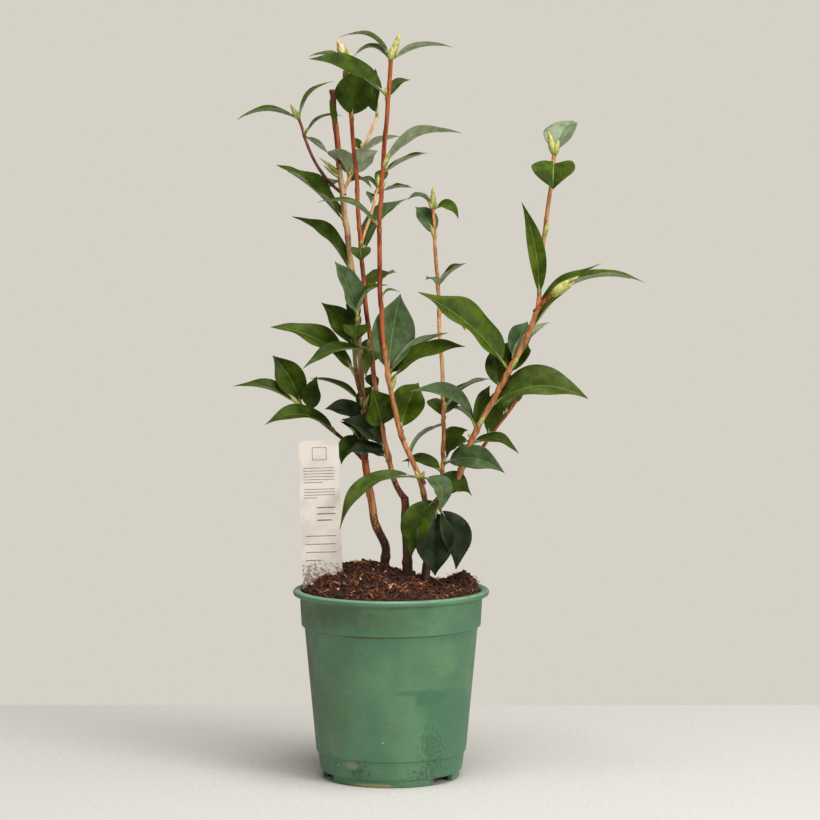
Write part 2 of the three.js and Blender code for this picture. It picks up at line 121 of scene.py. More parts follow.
def add_node(tree, kind, settings):
    """Adds a node. A setting is a plain value, a hex colour, or the socket that feeds that input."""
    node = tree.nodes.new(kind)
    for key, value in settings.items():
        if isinstance(key, str) and hasattr(node, key):
            setattr(node, key, value)
        elif isinstance(value, bpy.types.NodeSocket):
            tree.links.new(value, node.inputs[key])
        else:
            node.inputs[key].default_value = linear(value) if isinstance(value, str) else value
    return node


def start_finish(name, roughness, ior=1.5):
    """A new material with its shader's gloss set, and the place that its patterns lie on."""
    material = bpy.data.materials.new(name)
    material.use_nodes = True
    tree = material.node_tree
    shader = tree.nodes["Principled BSDF"]
    shader.inputs["Roughness"].default_value = roughness
    shader.inputs["IOR"].default_value = ior
    return material, tree, shader, add_node(tree, "ShaderNodeTexCoord", {}).outputs["Object"]


def clouded(tree, place, under, over, size, low, high, most=1.0, stretch=(1, 1, 1)):
    """Lets a second colour come through in clouds of about a size in millimetres."""
    laid = add_node(tree, "ShaderNodeMapping", {"Vector": place, "Scale": stretch}).outputs[0]
    cloud = add_node(
        tree, "ShaderNodeTexNoise", {"Vector": laid, "Scale": per(size), "Detail": 4.0, "Roughness": 0.6}
    ).outputs[0]
    share = add_node(
        tree, "ShaderNodeMapRange", {"interpolation_type": "SMOOTHSTEP", 0: cloud, 1: low, 2: high, 4: most}
    ).outputs[0]
    return add_node(tree, "ShaderNodeMix", {"data_type": "RGBA", 0: share, 6: under, 7: over}).outputs[2]


def flecked(tree, place, under, over, spacing, reach, most=1.0, shift=0.0):
    """Small round flecks of a second colour, one to a cell of a spacing in millimetres."""
    moved = {"Vector": place, "Location": (shift, shift, shift)}
    laid = add_node(tree, "ShaderNodeMapping", moved).outputs[0]
    far = add_node(tree, "ShaderNodeTexVoronoi", {"Vector": laid, "Scale": per(spacing)}).outputs["Distance"]
    fade = {0: far, 1: reach * 0.6, 2: reach, 3: most, 4: 0.0}
    share = add_node(tree, "ShaderNodeMapRange", fade).outputs[0]
    return add_node(tree, "ShaderNodeMix", {"data_type": "RGBA", 0: share, 6: under, 7: over}).outputs[2]


def stain_or_painted_light(tree, place, under, over, centre, reach, most, ragged=1.0, grain=7.0, soft=0.3):
    """A patch of a second colour round one spot of the surface, in millimetres, for real stains and for
    painted shade and highlights. Its ragged edge fades over a soft share.
    """
    near = {"vector_type": "TEXTURE", "Vector": place}
    near["Location"] = [c * 0.001 for c in centre]
    near["Scale"] = [r * 0.001 for r in reach]
    local = add_node(tree, "ShaderNodeMapping", near).outputs[0]
    far = add_node(tree, "ShaderNodeVectorMath", {"operation": "LENGTH", 0: local}).outputs["Value"]
    rag = add_node(
        tree, "ShaderNodeTexNoise", {"Vector": place, "Scale": per(grain), "Detail": 5.0, "Roughness": 0.7}
    ).outputs[0]
    torn = {"operation": "MULTIPLY_ADD", 0: rag, 1: ragged, 2: far}
    edge = add_node(tree, "ShaderNodeMath", torn).outputs[0]
    fade = {"interpolation_type": "SMOOTHSTEP", 0: edge, 3: most, 4: 0.0}
    fade[1], fade[2] = 1.0 - soft + ragged / 2, 1.0 + ragged / 2
    share = add_node(tree, "ShaderNodeMapRange", fade).outputs[0]
    return add_node(tree, "ShaderNodeMix", {"data_type": "RGBA", 0: share, 6: under, 7: over}).outputs[2]


def grained(tree, shader, place, size, depth, stretch=(1, 1, 1), fine=5.0):
    """A fine relief with grains of a size and a depth in millimetres."""
    laid = add_node(tree, "ShaderNodeMapping", {"Vector": place, "Scale": stretch}).outputs[0]
    grain = add_node(
        tree, "ShaderNodeTexNoise", {"Vector": laid, "Scale": per(size), "Detail": fine, "Roughness": 0.65}
    ).outputs[0]
    relief = add_node(tree, "ShaderNodeBump", {"Height": grain, "Distance": depth * 0.001, "Strength": 0.7})
    tree.links.new(relief.outputs[0], shader.inputs["Normal"])


def mesh_piece(name, points, faces, materials, slots=None, sharp=None):
    """A piece at the origin from points in millimetres, smooth except past a sharp angle in degrees."""
    mesh = bpy.data.meshes.new(name)
    mesh.from_pydata((np.asarray(points, float) * 0.001).tolist(), [], faces)
    for material in materials:
        mesh.materials.append(material)
    if slots is not None:
        mesh.polygons.foreach_set("material_index", slots)
    mesh.polygons.foreach_set("use_smooth", [True] * len(mesh.polygons))
    if sharp is not None:
        mesh.set_sharp_from_angle(angle=math.radians(sharp))
    mesh.update()
    piece = bpy.data.objects.new(name, mesh)
    bpy.context.scene.collection.objects.link(piece)
    return piece


def rounded(corners, size):
    """A line of (radius, height) corners with each one between its two ends rounded off over a size."""
    steps, most = 3, 0.45
    corners = [np.array(corner, float) for corner in corners]
    line = [corners[0]]
    for before, here, after in zip(corners, corners[1:], corners[2:]):
        start = here + (before - here) * min(most, size / max(np.linalg.norm(before - here), 1e-6))
        end = here + (after - here) * min(most, size / max(np.linalg.norm(after - here), 1e-6))
        for u in (k / steps for k in range(steps + 1)):
            line.append((1 - u) ** 2 * start + 2 * u * (1 - u) * here + u * u * end)
    return line + [corners[-1]]


def ring(centre, radius, sides, side=(1, 0, 0), top=(0, 1, 0)):
    """A round of points about a centre in the plane of two directions, level if they aren't given."""
    angles = [2 * math.pi * k / sides for k in range(sides)]
    side, top = np.asarray(side), np.asarray(top)
    return [centre + radius * (side * math.cos(angle) + top * math.sin(angle)) for angle in angles]


def tube_faces(rings, sides, base=0):
    """The faces between each ring of points and the next, where the first ring starts at a base."""
    faces = []
    for a in range(base, base + (rings - 1) * sides, sides):
        b = a + sides
        faces += [(a + k, a + (k + 1) % sides, b + (k + 1) % sides, b + k) for k in range(sides)]
    return faces


def turned(profile, sides):
    """Points and faces of a profile that starts and ends on the axis, turned round Z."""
    rim = profile[1:-1]
    points = [point for radius, height in rim for point in ring(np.array([0, 0, height]), radius, sides)]
    faces = tube_faces(len(rim), sides)
    first, top = len(points), len(points) - sides
    points += [(0, 0, profile[0][1]), (0, 0, profile[-1][1])]
    faces += [(first, (k + 1) % sides, k) for k in range(sides)]
    faces += [(first + 1, top + k, top + (k + 1) % sides) for k in range(sides)]
    return points, faces


def swept_block(inner, outer, low, high, start, arc):
    """A bar that follows an arc of the pot's foot, with its two long lower edges eased."""
    section = [
        (inner - foot_ease, high), (inner, low + foot_ease), (inner + foot_ease, low),
        (outer - foot_ease, low), (outer, low + foot_ease), (outer + foot_ease, high),
    ]
    points = []
    n = len(section)
    for i in range(foot_steps + 1):
        angle = math.radians(start + arc * i / foot_steps)
        points += [(r * math.cos(angle), r * math.sin(angle), z) for r, z in section]
    faces = tube_faces(foot_steps + 1, n)
    faces += [tuple(reversed(range(n))), tuple(range(foot_steps * n, foot_steps * n + n))]
    return points, faces


def joined(parts):
    """One list of points, faces and face slots from several."""
    points, faces, slots = [], [], []
    for part in parts:
        base = len(points)
        points += list(part[0])
        faces += [tuple(base + k for k in face) for face in part[1]]
        slots += list(part[2]) if len(part) > 2 else [0] * len(part[1])
    return points, faces, slots


def face_out(piece):
    """Turns the faces of a closed piece outwards."""
    work = bmesh.new()
    work.from_mesh(piece.data)
    bmesh.ops.remove_doubles(work, verts=work.verts, dist=1e-6)
    bmesh.ops.recalc_face_normals(work, faces=work.faces)
    work.to_mesh(piece.data)
    work.free()


def settled(piece):
    """Replaces a piece's mesh with the result of its modifiers and removes them."""
    evaluated = piece.evaluated_get(bpy.context.evaluated_depsgraph_get())
    mesh = bpy.data.meshes.new_from_object(evaluated)
    piece.modifiers.clear()
    piece.data = mesh


# Thermoformed polypropylene is matt and a little waxy. This pot is a cloudy mid green, duller and browner
# at the band, and darker where a wet rub has cleaned it. On the left it is dark and brown, partly from
# dried-on soil and partly as painted shade on the side away from the lights. Thin dark rings under the band
# and under the low step are painted shade, and a pale ring round the top of the lip is a painted highlight.
# Stains and painted light: colour, centre, reach, strength, then raggedness, grain and softness of the edge.
pot_plastic, tree, shader, place = start_finish("moulded_polypropylene", 0.5, 1.49)
green = clouded(tree, place, "#4c7858", "#5c8866", 36.0, 0.36, 0.64)
green = clouded(tree, place, green, "#5c7a52", 22.0, 0.5, 0.7, 0.5, (1, 1, 0.6))
green = clouded(tree, place, green, "#476b4c", 5.0, 0.55, 0.75, 0.35)
for pot_stain_or_painted_light in [
    ("#47552f", (-22, 0, 112), (70, 90, 15), 0.7, 0.9, 14.0, 0.6),
    # Dark brown over the left side: partly dried-on soil, partly painted shade away from the lights.
    ("#3f4225", (-68, -8, 62), (34, 60, 90), 0.95, 1.0, 14.0, 0.9),
    ("#356b4c", (13, -54, 63.5), (11, 16, 2.6), 0.5, 1.0, 9.0, 0.5),
    ("#366c4c", (27, -50, 60), (14, 16, 7), 0.75, 1.3, 9.0, 0.5),
    ("#3a704f", (42, -40, 72), (14, 20, 6), 0.4, 1.8, 9.0, 0.6),
    ("#3a704f", (40, -34, 34), (22, 44, 36), 0.6, 0.4, 12.0, 0.2),
    ("#2b4634", (27, -42, 25), (11, 14, 15), 0.4, 7.5, 2.2, 0.8),
    ("#22301f", (-21, -44, 10), (6, 12, 8), 0.6, 6.0, 2.0, 0.8),
    ("#22301f", (24, -44, 9), (12, 14, 6), 0.5, 7.0, 2.0, 0.8),
    ("#939d78", (-26, -42, 14), (5, 10, 3), 0.55, 2.6, 2.0),
    ("#6b4a33", (-18, -58, 100.4), (17, 12, 0.9), 0.8, 0.8, 3.0),
    # Painted shade: a thin dark ring all round under the overhang of the stacking band.
    ("#2c3a26", (0, 0, 100.6), (90, 90, 0.8), 0.55, 0.9, 5.0),
    # Painted shade: a fainter dark ring all round under the low step.
    ("#2c3a26", (0, 0, 17.2), (90, 90, 0.6), 0.3, 0.9, 5.0),
    ("#a39468", (-12, -46, 1.4), (17, 12, 1.6), 0.75, 1.2, 3.0),
    # Painted highlight: a pale ring round the rounded top edge of the lip.
    ("#8fae93", (0, 0, 124.6), (90, 90, 0.9), 0.5, 1.0, 9.0),
]:
    green = stain_or_painted_light(tree, place, green, *pot_stain_or_painted_light)
green = flecked(tree, place, green, "#22301f", 8.0, 0.07)
green = flecked(tree, place, green, "#33422a", 3.4, 0.1, 0.5, 0.3)
green = flecked(tree, place, green, "#c3cdb2", 17.0, 0.04, 0.9, 0.7)
tree.links.new(green, shader.inputs["Base Color"])
grained(tree, shader, place, 1.4, 0.03)

pot_outside = rounded(
    [
        (0, 0), (pad_radius, 0), (pad_radius + 1, floor_height), (wall_foot[0] - 1, floor_height),
        wall_foot,
        (step_radius - 0.1, step_height - 0.4), (step_radius + 1.1, step_height + 0.4),
        (band_radius - band_draft - band_step, band_foot - 0.7), (band_radius - band_draft, band_foot + 0.2),
        (band_radius, wall_top), (lip_radius - 0.6, wall_top + 0.2), (lip_radius, wall_top + 1.4),
        (lip_radius, pot_height - 1.2), (lip_radius - 1.2, pot_height), (band_inner + 1.4, pot_height),
        (band_inner, pot_height - 1.6), (band_inner - band_draft, band_foot + 1.2),
        (band_inner - band_draft - band_step, band_foot), (step_radius + 0.2, step_height + 0.4),
        (wall_foot[0] - wall, floor_height + 3), (wall_foot[0] - 3, floor_height + floor_depth),
        (0, floor_height + floor_depth),
    ],
    edge_round,
)
pot_feet = [
    swept_block(
        foot_radius - foot_width, foot_radius, 0.0, floor_height + 0.5,
        -90 + foot_turn + 120 * i - foot_arc / 2, foot_arc,
    )
    for i in range(3)
]
pot = mesh_piece("nursery_pot", *turned(pot_outside, pot_sides), [pot_plastic])
face_out(pot)
drills = []
for i in range(drain_count):
    angle = 2 * math.pi * (i + 0.5) / drain_count
    away_x, away_y = drain_circle * math.cos(angle), drain_circle * math.sin(angle)
    low, high = drill_reach
    points, faces = turned([(0, low), (drain_radius, low), (drain_radius, high), (0, high)], drain_sides)
    drills.append(([(x + away_x, y + away_y, z) for x, y, z in points], faces))
drill = mesh_piece("drain_drill", *joined(drills)[:2], [pot_plastic])
face_out(drill)
cut = pot.modifiers.new("drains", "BOOLEAN")
cut.operation = "DIFFERENCE"
cut.object = drill
settled(pot)
bpy.data.objects.remove(drill)
feet = mesh_piece("pot_feet", *joined(pot_feet)[:2], [pot_plastic])
face_out(feet)
shell = bmesh.new()
shell.from_mesh(pot.data)
shell.from_mesh(feet.data)
shell.to_mesh(pot.data)
shell.free()
bpy.data.objects.remove(feet)
pot.data.polygons.foreach_set("use_smooth", [True] * len(pot.data.polygons))
pot.data.set_sharp_from_angle(angle=math.radians(sharp_angle))
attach(pot, "root")
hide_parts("pot")

# Soil: peat-based potting soil, damp and loose, heaped round the stems. Its top is crumbs, slivers of
# bark, dry root fibres, pale wood chips and a few white grains that were stirred in.

soil_edge = 123.0
soil_dome = 9.0
soil_bumps = [(-22, 6, 11, 20), (52, -2, 10, 9), (30, 35, -5, 16)]
soil_inner = band_inner - 0.75
crust_sink = 0.8
crust_lumps = [(1.3, 17, 3), (0.8, 8, 5), (0.45, 4, 7)]  # height, size and seed of each
ripple_waves = 7


def soil_height(x, y):
    reach = min(1.0, math.hypot(x, y) / band_inner)
    height = soil_edge + soil_dome * (1 - reach * reach) ** 0.6
    for bx, by, rise, spread in soil_bumps:
        height += rise * (1 - reach**12) * math.exp(-((x - bx) ** 2 + (y - by) ** 2) / (2 * spread**2))
    return height


def ripple(x, y, size, seed):
    """Smooth seeded noise between about -1 and 1, with waves of the given size in millimetres."""
    mix = np.random.default_rng(seed)
    total = 0.0
    for _ in range(ripple_waves):
        angle, phase, pitch = mix.uniform(0, 2 * math.pi, 2).tolist() + [size * mix.uniform(0.7, 1.5)]
        total += math.sin((x * math.cos(angle) + y * math.sin(angle)) * 2 * math.pi / pitch + phase)
    return 2 * total / ripple_waves


def soil_crust(x, y):
    """The height of the loose surface, lumpier than the mound that it lies on."""
    reach = min(1.0, math.hypot(x, y) / soil_inner)
    lumps = sum(height * ripple(x, y, size, seed) for height, size, seed in crust_lumps)
    return soil_height(x, y) - crust_sink + (1 - reach**6) * lumps


def two_toned(name, dark, light, size, roughness, ior=1.5, low=0.36, high=0.64, relief=None):
    """A material whose colour runs between two tones over a size, with a fine relief (size and depth)."""
    material, tree, shader, place = start_finish(name, roughness, ior)
    tree.links.new(clouded(tree, place, dark, light, size, low, high), shader.inputs["Base Color"])
    if relief:
        grained(tree, shader, place, *relief)
    return material


def loose_stuff(name, dark, light, size, roughness):
    return two_toned(name, dark, light, size, roughness, relief=(0.6, 0.25))


# Damp peat is almost black in its hollows and red-brown on its dry crests, with no gloss at all. The
# other bits are drier, paler and a little less rough.
peat = two_toned("damp_peat", "#1c0d06", "#43200f", 5.0, 0.95, 1.5, 0.35, 0.65, (1.1, 0.8))
crumb_dark = loose_stuff("peat_crumbs", "#1d0d06", "#442010", 4.0, 0.95)
crumb_red = loose_stuff("dry_peat_crumbs", "#451d0d", "#743818", 4.0, 0.9)
bark_sliver = loose_stuff("shredded_bark", "#5a2c15", "#9d5f38", 5.0, 0.8)
wood_chip = loose_stuff("pale_wood_chips", "#a8714a", "#dbab80", 4.0, 0.75)
root_fibre = loose_stuff("dry_root_fibre", "#6a3a20", "#a56c42", 6.0, 0.75)
white_grain = loose_stuff("perlite_grains", "#c4b69f", "#ece2d0", 3.0, 0.85)

soil_rings = 46
soil_sides = 150
points = []
for i in range(soil_rings):
    crust_ring = ring(np.zeros(3), soil_inner * (i + 1) / soil_rings, soil_sides)
    points += [(x, y, soil_crust(x, y)) for x, y, z in crust_ring]
body_profile = [
    (band_inner - 1.8, band_foot + 1.6), (band_inner - band_draft - band_step - 0.5, band_foot - 0.2),
    (step_radius - 0.5, step_height + 1), (wall_foot[0] - 3.5, floor_height + 2.1),
]
for radius, height in body_profile:
    points += ring(np.array([0, 0, height]), radius, soil_sides)
faces = [(a, d, c, b) for a, b, c, d in tube_faces(soil_rings + len(body_profile), soil_sides)]
last, middle = len(points) - soil_sides, len(points)
points += [(0, 0, soil_crust(0, 0)), (0, 0, floor_height + 2.1)]
faces += [(middle, k, (k + 1) % soil_sides) for k in range(soil_sides)]
faces += [(middle + 1, last + (k + 1) % soil_sides, last + k) for k in range(soil_sides)]
soil = mesh_piece("potting_soil", points, faces, [peat])
face_out(soil)

# Loose bits lie on the crust, which stops one ring short of the wall.
crust = mesh_piece("soil_crust", points[:-2], faces[: (soil_rings - 2) * soil_sides], [peat])


def lump(name, size, squash, seed):
    """A broken crumb or chip: a small sphere of faces squashed and roughened by a seeded rule."""
    work = bmesh.new()
    bmesh.ops.create_icosphere(work, subdivisions=1, radius=size * 0.001)
    mix = np.random.default_rng(seed)
    for vert in work.verts:
        rough = 1 + mix.uniform(-0.28, 0.28)
        vert.co = Vector([vert.co[i] * squash[i] * rough for i in range(3)])
    mesh = bpy.data.meshes.new(name)
    work.to_mesh(mesh)
    work.free()
    return bpy.data.objects.new(name, mesh)


def fibre(name, length, thick, bend, seed):
    """A thin crooked fibre of five sides that lies along X."""
    mix = np.random.default_rng(seed)
    steps, sides = 9, 5
    points = []
    wander = np.cumsum(mix.normal(0, bend, (steps + 1, 2)), axis=0)
    for i in range(steps + 1):
        u = i / steps
        girth = thick * (0.35 + 0.65 * math.sin(math.pi * (0.12 + 0.8 * u)))
        centre = np.array([(u - 0.5) * length, wander[i][0], abs(wander[i][1]) * 0.6])
        points += ring(centre, girth, sides, (0, 1, 0), (0, 0, 1))
    faces = tube_faces(steps + 1, sides)
    faces += [tuple(reversed(range(sides))), tuple(range(steps * sides, steps * sides + sides))]
    mesh = bpy.data.meshes.new(name)
    mesh.from_pydata((np.array(points) * 0.001).tolist(), [], faces)
    return bpy.data.objects.new(name, mesh)


def scatter_tree():
    """Strews the shapes of a collection over a surface. Density, size, tilt, sinking and seed are inputs."""
    tree = bpy.data.node_groups.new("strewn_bits", "GeometryNodeTree")
    for name, kind in [
        ("Surface", "Geometry"), ("Shapes", "Collection"), ("Density", "Float"), ("Smallest", "Float"),
        ("Largest", "Float"), ("Tilt", "Float"), ("Sink", "Float"), ("Seed", "Int"), ("Material", "Material"),
    ]:
        tree.interface.new_socket(name, in_out="INPUT", socket_type="NodeSocket" + kind)
    tree.interface.new_socket("Bits", in_out="OUTPUT", socket_type="NodeSocketGeometry")
    given = add_node(tree, "NodeGroupInput", {}).outputs
    spread = {"distribute_method": "RANDOM", "Mesh": given["Surface"], "Density": given["Density"]}
    spots = add_node(
        tree, "GeometryNodeDistributePointsOnFaces", {**spread, "Seed": given["Seed"]}
    ).outputs["Points"]
    shapes = add_node(
        tree, "GeometryNodeCollectionInfo",
        {"Collection": given["Shapes"], "Separate Children": True, "Reset Children": True},
    ).outputs[0]
    tilt = given["Tilt"]
    other = add_node(tree, "ShaderNodeMath", {"operation": "MULTIPLY", 0: tilt, 1: -1.0}).outputs[0]
    low = add_node(tree, "ShaderNodeCombineXYZ", {"X": other, "Y": other, "Z": 0.0}).outputs[0]
    high = add_node(tree, "ShaderNodeCombineXYZ", {"X": tilt, "Y": tilt, "Z": 6.283}).outputs[0]
    turn = add_node(
        tree, "FunctionNodeRandomValue", {"data_type": "FLOAT_VECTOR", 0: low, 1: high, "Seed": given["Seed"]}
    ).outputs[0]
    size = add_node(
        tree, "FunctionNodeRandomValue",
        {"data_type": "FLOAT", 2: given["Smallest"], 3: given["Largest"], "Seed": given["Seed"]},
    ).outputs[1]
    placed = add_node(
        tree, "GeometryNodeInstanceOnPoints",
        {"Points": spots, "Instance": shapes, "Pick Instance": True, "Rotation": turn, "Scale": size},
    ).outputs[0]
    real = add_node(tree, "GeometryNodeRealizeInstances", {"Geometry": placed}).outputs[0]
    offset = add_node(tree, "ShaderNodeCombineXYZ", {"Z": given["Sink"]}).outputs[0]
    moved = add_node(tree, "GeometryNodeSetPosition", {"Geometry": real, "Offset": offset}).outputs[0]
    painted = add_node(tree, "GeometryNodeSetMaterial", {"Geometry": moved, "Material": given["Material"]})
    add_node(tree, "NodeGroupOutput", {"Bits": painted.outputs[0]})
    return tree


strewn_bits = scatter_tree()


def strew(name, shapes, material, **amounts):
    """Runs the tree on the crust and returns the bits as one plain mesh piece."""
    store = bpy.data.collections.new(name + "_shapes")
    for shape in shapes:
        store.objects.link(shape)
    piece = bpy.data.objects.new(name, crust.data.copy())
    bpy.context.scene.collection.objects.link(piece)
    layer = piece.modifiers.new("strewn", "NODES")
    layer.node_group = strewn_bits
    sockets = {s.name: s.identifier for s in strewn_bits.interface.items_tree if s.in_out == "INPUT"}
    for key, value in {"Shapes": store, "Material": material, **amounts}.items():
        layer[sockets[key]] = value
    settled(piece)
    for shape in shapes:
        bpy.data.objects.remove(shape)
    bpy.data.collections.remove(store)
    return piece


def broken_bits(size, squashes):
    return [lump(f"bit_{i}", size, squash, 11 + i) for i, squash in enumerate(squashes)]


# The density is in bits to a square metre, and the sink is the lift of the bits in metres.
clods = [(1, 0.8, 0.7), (0.8, 1, 0.6), (1, 1, 0.8), (1.2, 0.7, 0.6)]
slivers = [(2.6, 0.7, 0.25), (1.9, 0.9, 0.3), (3.2, 0.5, 0.3)]
soil_bits = [
    strew(
        "peat_clods", broken_bits(1.0, clods), crumb_dark,
        Density=52000.0, Smallest=1.2, Largest=3.4, Tilt=3.1, Sink=-0.0003, Seed=2,
    ),
    strew(
        "dark_crumbs", broken_bits(1.0, clods), crumb_dark,
        Density=230000.0, Smallest=0.5, Largest=1.5, Tilt=3.1, Sink=0.0001, Seed=4,
    ),
    strew(
        "red_crumbs", broken_bits(1.0, clods), crumb_red,
        Density=90000.0, Smallest=0.4, Largest=1.7, Tilt=3.1, Sink=0.0004, Seed=9,
    ),
    strew(
        "bark_slivers", broken_bits(1.0, slivers), bark_sliver,
        Density=17000.0, Smallest=0.5, Largest=1.9, Tilt=0.8, Sink=0.0009, Seed=15,
    ),
    strew(
        "wood_chips", broken_bits(1.0, [(1.9, 0.8, 0.3), (1.3, 1.0, 0.3)]), wood_chip,
        Density=4500.0, Smallest=0.6, Largest=2.0, Tilt=0.8, Sink=0.0012, Seed=23,
    ),
    strew(
        "root_fibres", [fibre(f"fibre_{s}", 9.0, 0.2, 0.6, s) for s in (41, 42, 43, 44)], root_fibre,
        Density=9000.0, Smallest=0.5, Largest=1.3, Tilt=0.45, Sink=0.0013, Seed=31,
    ),
    strew(
        "white_grains", broken_bits(0.8, [(1, 0.9, 0.8), (0.9, 1, 0.8)]), white_grain,
        Density=2600.0, Smallest=0.4, Largest=1.2, Tilt=3.1, Sink=0.0011, Seed=37,
    ),
]
bpy.data.objects.remove(crust)
for piece in [soil, *soil_bits]:
    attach(piece, "root")
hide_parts("soil")

# Plant label: a thin strip of off-white plastic with round shoulders, pushed into the soil at the pot's
# edge. It carries no words, only a printed box and fine ruled lines to write on.

label_width = 26.5
label_thickness = 0.6
label_top = 224.0
label_shoulder = 124.0
label_point = 104.0
label_foot = (-45.0, -5.0)
label_lean = 1.6
label_corner = 4.0
label_bow = 0.5
label_slices = 14
label_point_half = 0.8
ink_depth = 0.05
printed_line = 0.35
label_edge_angle = 30.0


def label_place(across, up, depth):
    """A place on the leaning, slightly bowed strip from its own width, height and depth."""
    rise = up - label_shoulder
    lean = math.radians(label_lean)
    bow = label_bow * math.sin(math.pi * max(0.0, rise) / (label_top - label_shoulder))
    return (
        label_foot[0] + across * math.cos(lean) - rise * math.sin(lean),
        label_foot[1] + depth - bow,
        label_shoulder + rise * math.cos(lean) + across * math.sin(lean),
    )


# Matt printed polystyrene: soft off-white, faintly yellowed in clouds, with soil splashed on its foot.
label_plastic, tree, shader, place = start_finish("polystyrene_strip", 0.5)
paper = clouded(tree, place, "#dad3ca", "#e7e1d9", 18.0, 0.4, 0.6)
paper = stain_or_painted_light(tree, place, paper, "#7c6352", (-45, -5, 118), (40, 40, 22), 0.8, 3.6, 1.6)
tree.links.new(paper, shader.inputs["Base Color"])
grained(tree, shader, place, 2.0, 0.02)
label_ink = two_toned("grey_printing_ink", "#5c5651", "#8a837c", 2.0, 0.6, 1.5, 0.4, 0.62)


def label_strip():
    """The strip as stacked slices, so that its bow is smooth, with round shoulders and a pointed foot."""
    half = label_width / 2
    straight_top = label_top - label_corner
    rise = straight_top - label_shoulder
    heights = [label_point, label_shoulder]
    heights += [label_shoulder + rise * k / label_slices for k in range(1, label_slices + 1)]
    heights += [straight_top + label_corner * math.sin(math.radians(a)) for a in (20, 40, 60, 75, 90)]
    points = []
    for up in heights:
        over = max(0.0, up - straight_top)
        wide = half - label_corner + math.sqrt(max(0.0, label_corner**2 - over**2)) if over else half
        if up == label_point:
            wide = label_point_half
        for across, depth in ((-wide, -0.5), (wide, -0.5), (wide, 0.5), (-wide, 0.5)):
            points.append(label_place(across, up, depth * label_thickness))
    last = 4 * (len(heights) - 1)
    faces = tube_faces(len(heights), 4)
    return points, faces + [(3, 2, 1, 0), (last, last + 1, last + 2, last + 3)]


def ink_bar(left, right, low, high):
    """A thin printed bar that stands a hair proud of the strip's front."""
    corners = ((left, low), (right, low), (right, high), (left, high))
    depths = (-label_thickness / 2 - ink_depth, -label_thickness / 2 + ink_depth)
    points = [label_place(x, z, depth) for depth in depths for x, z in corners]
    return points, [(0, 1, 2, 3), (7, 6, 5, 4), (0, 4, 5, 1), (1, 5, 6, 2), (2, 6, 7, 3), (3, 7, 4, 0)]


def ruled_block(left, right, top, pitch, count, thick, short):
    """Ruled lines, one under another, with the last one shorter."""
    bars = []
    for k in range(count):
        end = left + (right - left) * (short if k == count - 1 else 1)
        bars.append(ink_bar(left, end, top - k * pitch - thick, top - k * pitch))
    return bars


# Printed box: left, right, low, high. Ruled blocks: left, right, top, pitch, lines, thickness, last line.
box_left, box_right, box_low, box_high = -4.5, 5.0, 211.0, 219.5
printing = [
    ink_bar(box_left, box_right, box_low, box_low + printed_line),
    ink_bar(box_left, box_right, box_high - printed_line, box_high),
    ink_bar(box_left, box_left + printed_line, box_low, box_high),
    ink_bar(box_right - printed_line, box_right, box_low, box_high),
    *ruled_block(-10.5, 9.8, 206.0, 1.9, 6, 0.4, 0.6),
    *ruled_block(-10.5, 9.8, 192.0, 1.9, 4, 0.4, 0.4),
    *ruled_block(-2.5, 9.8, 180.0, 4.2, 3, 0.7, 0.8),
    *ruled_block(-10.5, 9.8, 161.0, 5.4, 4, 0.45, 0.55),
]
label = mesh_piece("plant_label_strip", *label_strip(), [label_plastic], sharp=label_edge_angle)
face_out(label)
print_lines = mesh_piece("label_ruled_lines", *joined(printing)[:2], [label_ink], sharp=label_edge_angle)
face_out(print_lines)
for piece in (label, print_lines):
    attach(piece, "root")
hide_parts("plant_label")

# Stems: three woody stems rise from the soil, and the right one forks low into two boughs. Their bark is
# smooth and thin, brown at the foot and tan or red-brown higher up, with a swelling at every old leaf joint.

limbs = {
    "left_stem": dict(foot=(-4.6, 10, 131), tip=(-17.8, 9, 214), lean=(5, -2), radius=(3, 2.3), flare=1.4,
                      bark="foot 163 brown 172 orange 196 red", bends=[(151, 1.6, 7), (168, -1.6, 9)]),
    "middle_stem": dict(foot=(11.6, -1, 129), tip=(8.6, 0, 185), lean=(-3, -4), radius=(3.2, 2.6), flare=2.2,
                        bark="foot 176 dark", bends=[(180, 0.8, 6)]),
    "right_stem": dict(foot=(22.5, -9, 128), tip=(24.4, -8, 175), lean=(4, 0), radius=(2.8, 2.3), flare=1.2,
                       bark="foot 170 brown"),
    "middle_bough": dict(parent="middle_stem", foot=(8.5, 0, 185.5), tip=(-1.8, 2, 211), lean=(-38, -14),
                         radius=(1.9, 1.75), bark="dark 198 orange"),
    "front_bough": dict(parent="right_stem", foot=(24, -8, 175.5), tip=(7.2, -9, 226), lean=(-4, -24),
                        radius=(1.9, 1.7), bark="brown 190 orange"),
    "right_bough": dict(parent="right_stem", foot=(24.6, -8, 175.3), tip=(46, -9, 204.5), lean=(46, 24),
                        radius=(2, 1.95), bark="brown 190 orange"),
}

# Young camellia bark is thin and faintly glossy, streaked along the stem, with scattered pale pores. A
# limb's bark plan gives its tones from the foot up, with the height at which each one takes over.
bark_tones = {
    "foot": ("#2a1510", "#5a3522"),
    "brown": ("#5a2f16", "#8d5a32"),
    "tan": ("#a3754a", "#d3ad7e"),
    "orange": ("#93512a", "#c98a56"),
    "red": ("#6e260e", "#b45c2e"),
    "dark": ("#481a12", "#7c3a28"),
    "pale": ("#c2874f", "#e3b47c"),
    "green": ("#66702c", "#8e9545"),
}


def bark_material(tone, dark, light):
    material, tree, shader, place = start_finish(f"young_bark_{tone}", 0.48, 1.45)
    colour = clouded(tree, place, dark, light, 2.4, 0.34, 0.6, 1.0, (1, 1, 0.14))
    colour = clouded(tree, place, colour, dark, 9.0, 0.56, 0.76, 0.55)
    colour = flecked(tree, place, colour, "#d8bb92", 3.2, 0.12, 0.6)
    tree.links.new(colour, shader.inputs["Base Color"])
    grained(tree, shader, place, 1.8, 0.3, (1, 1, 0.2))
    return material


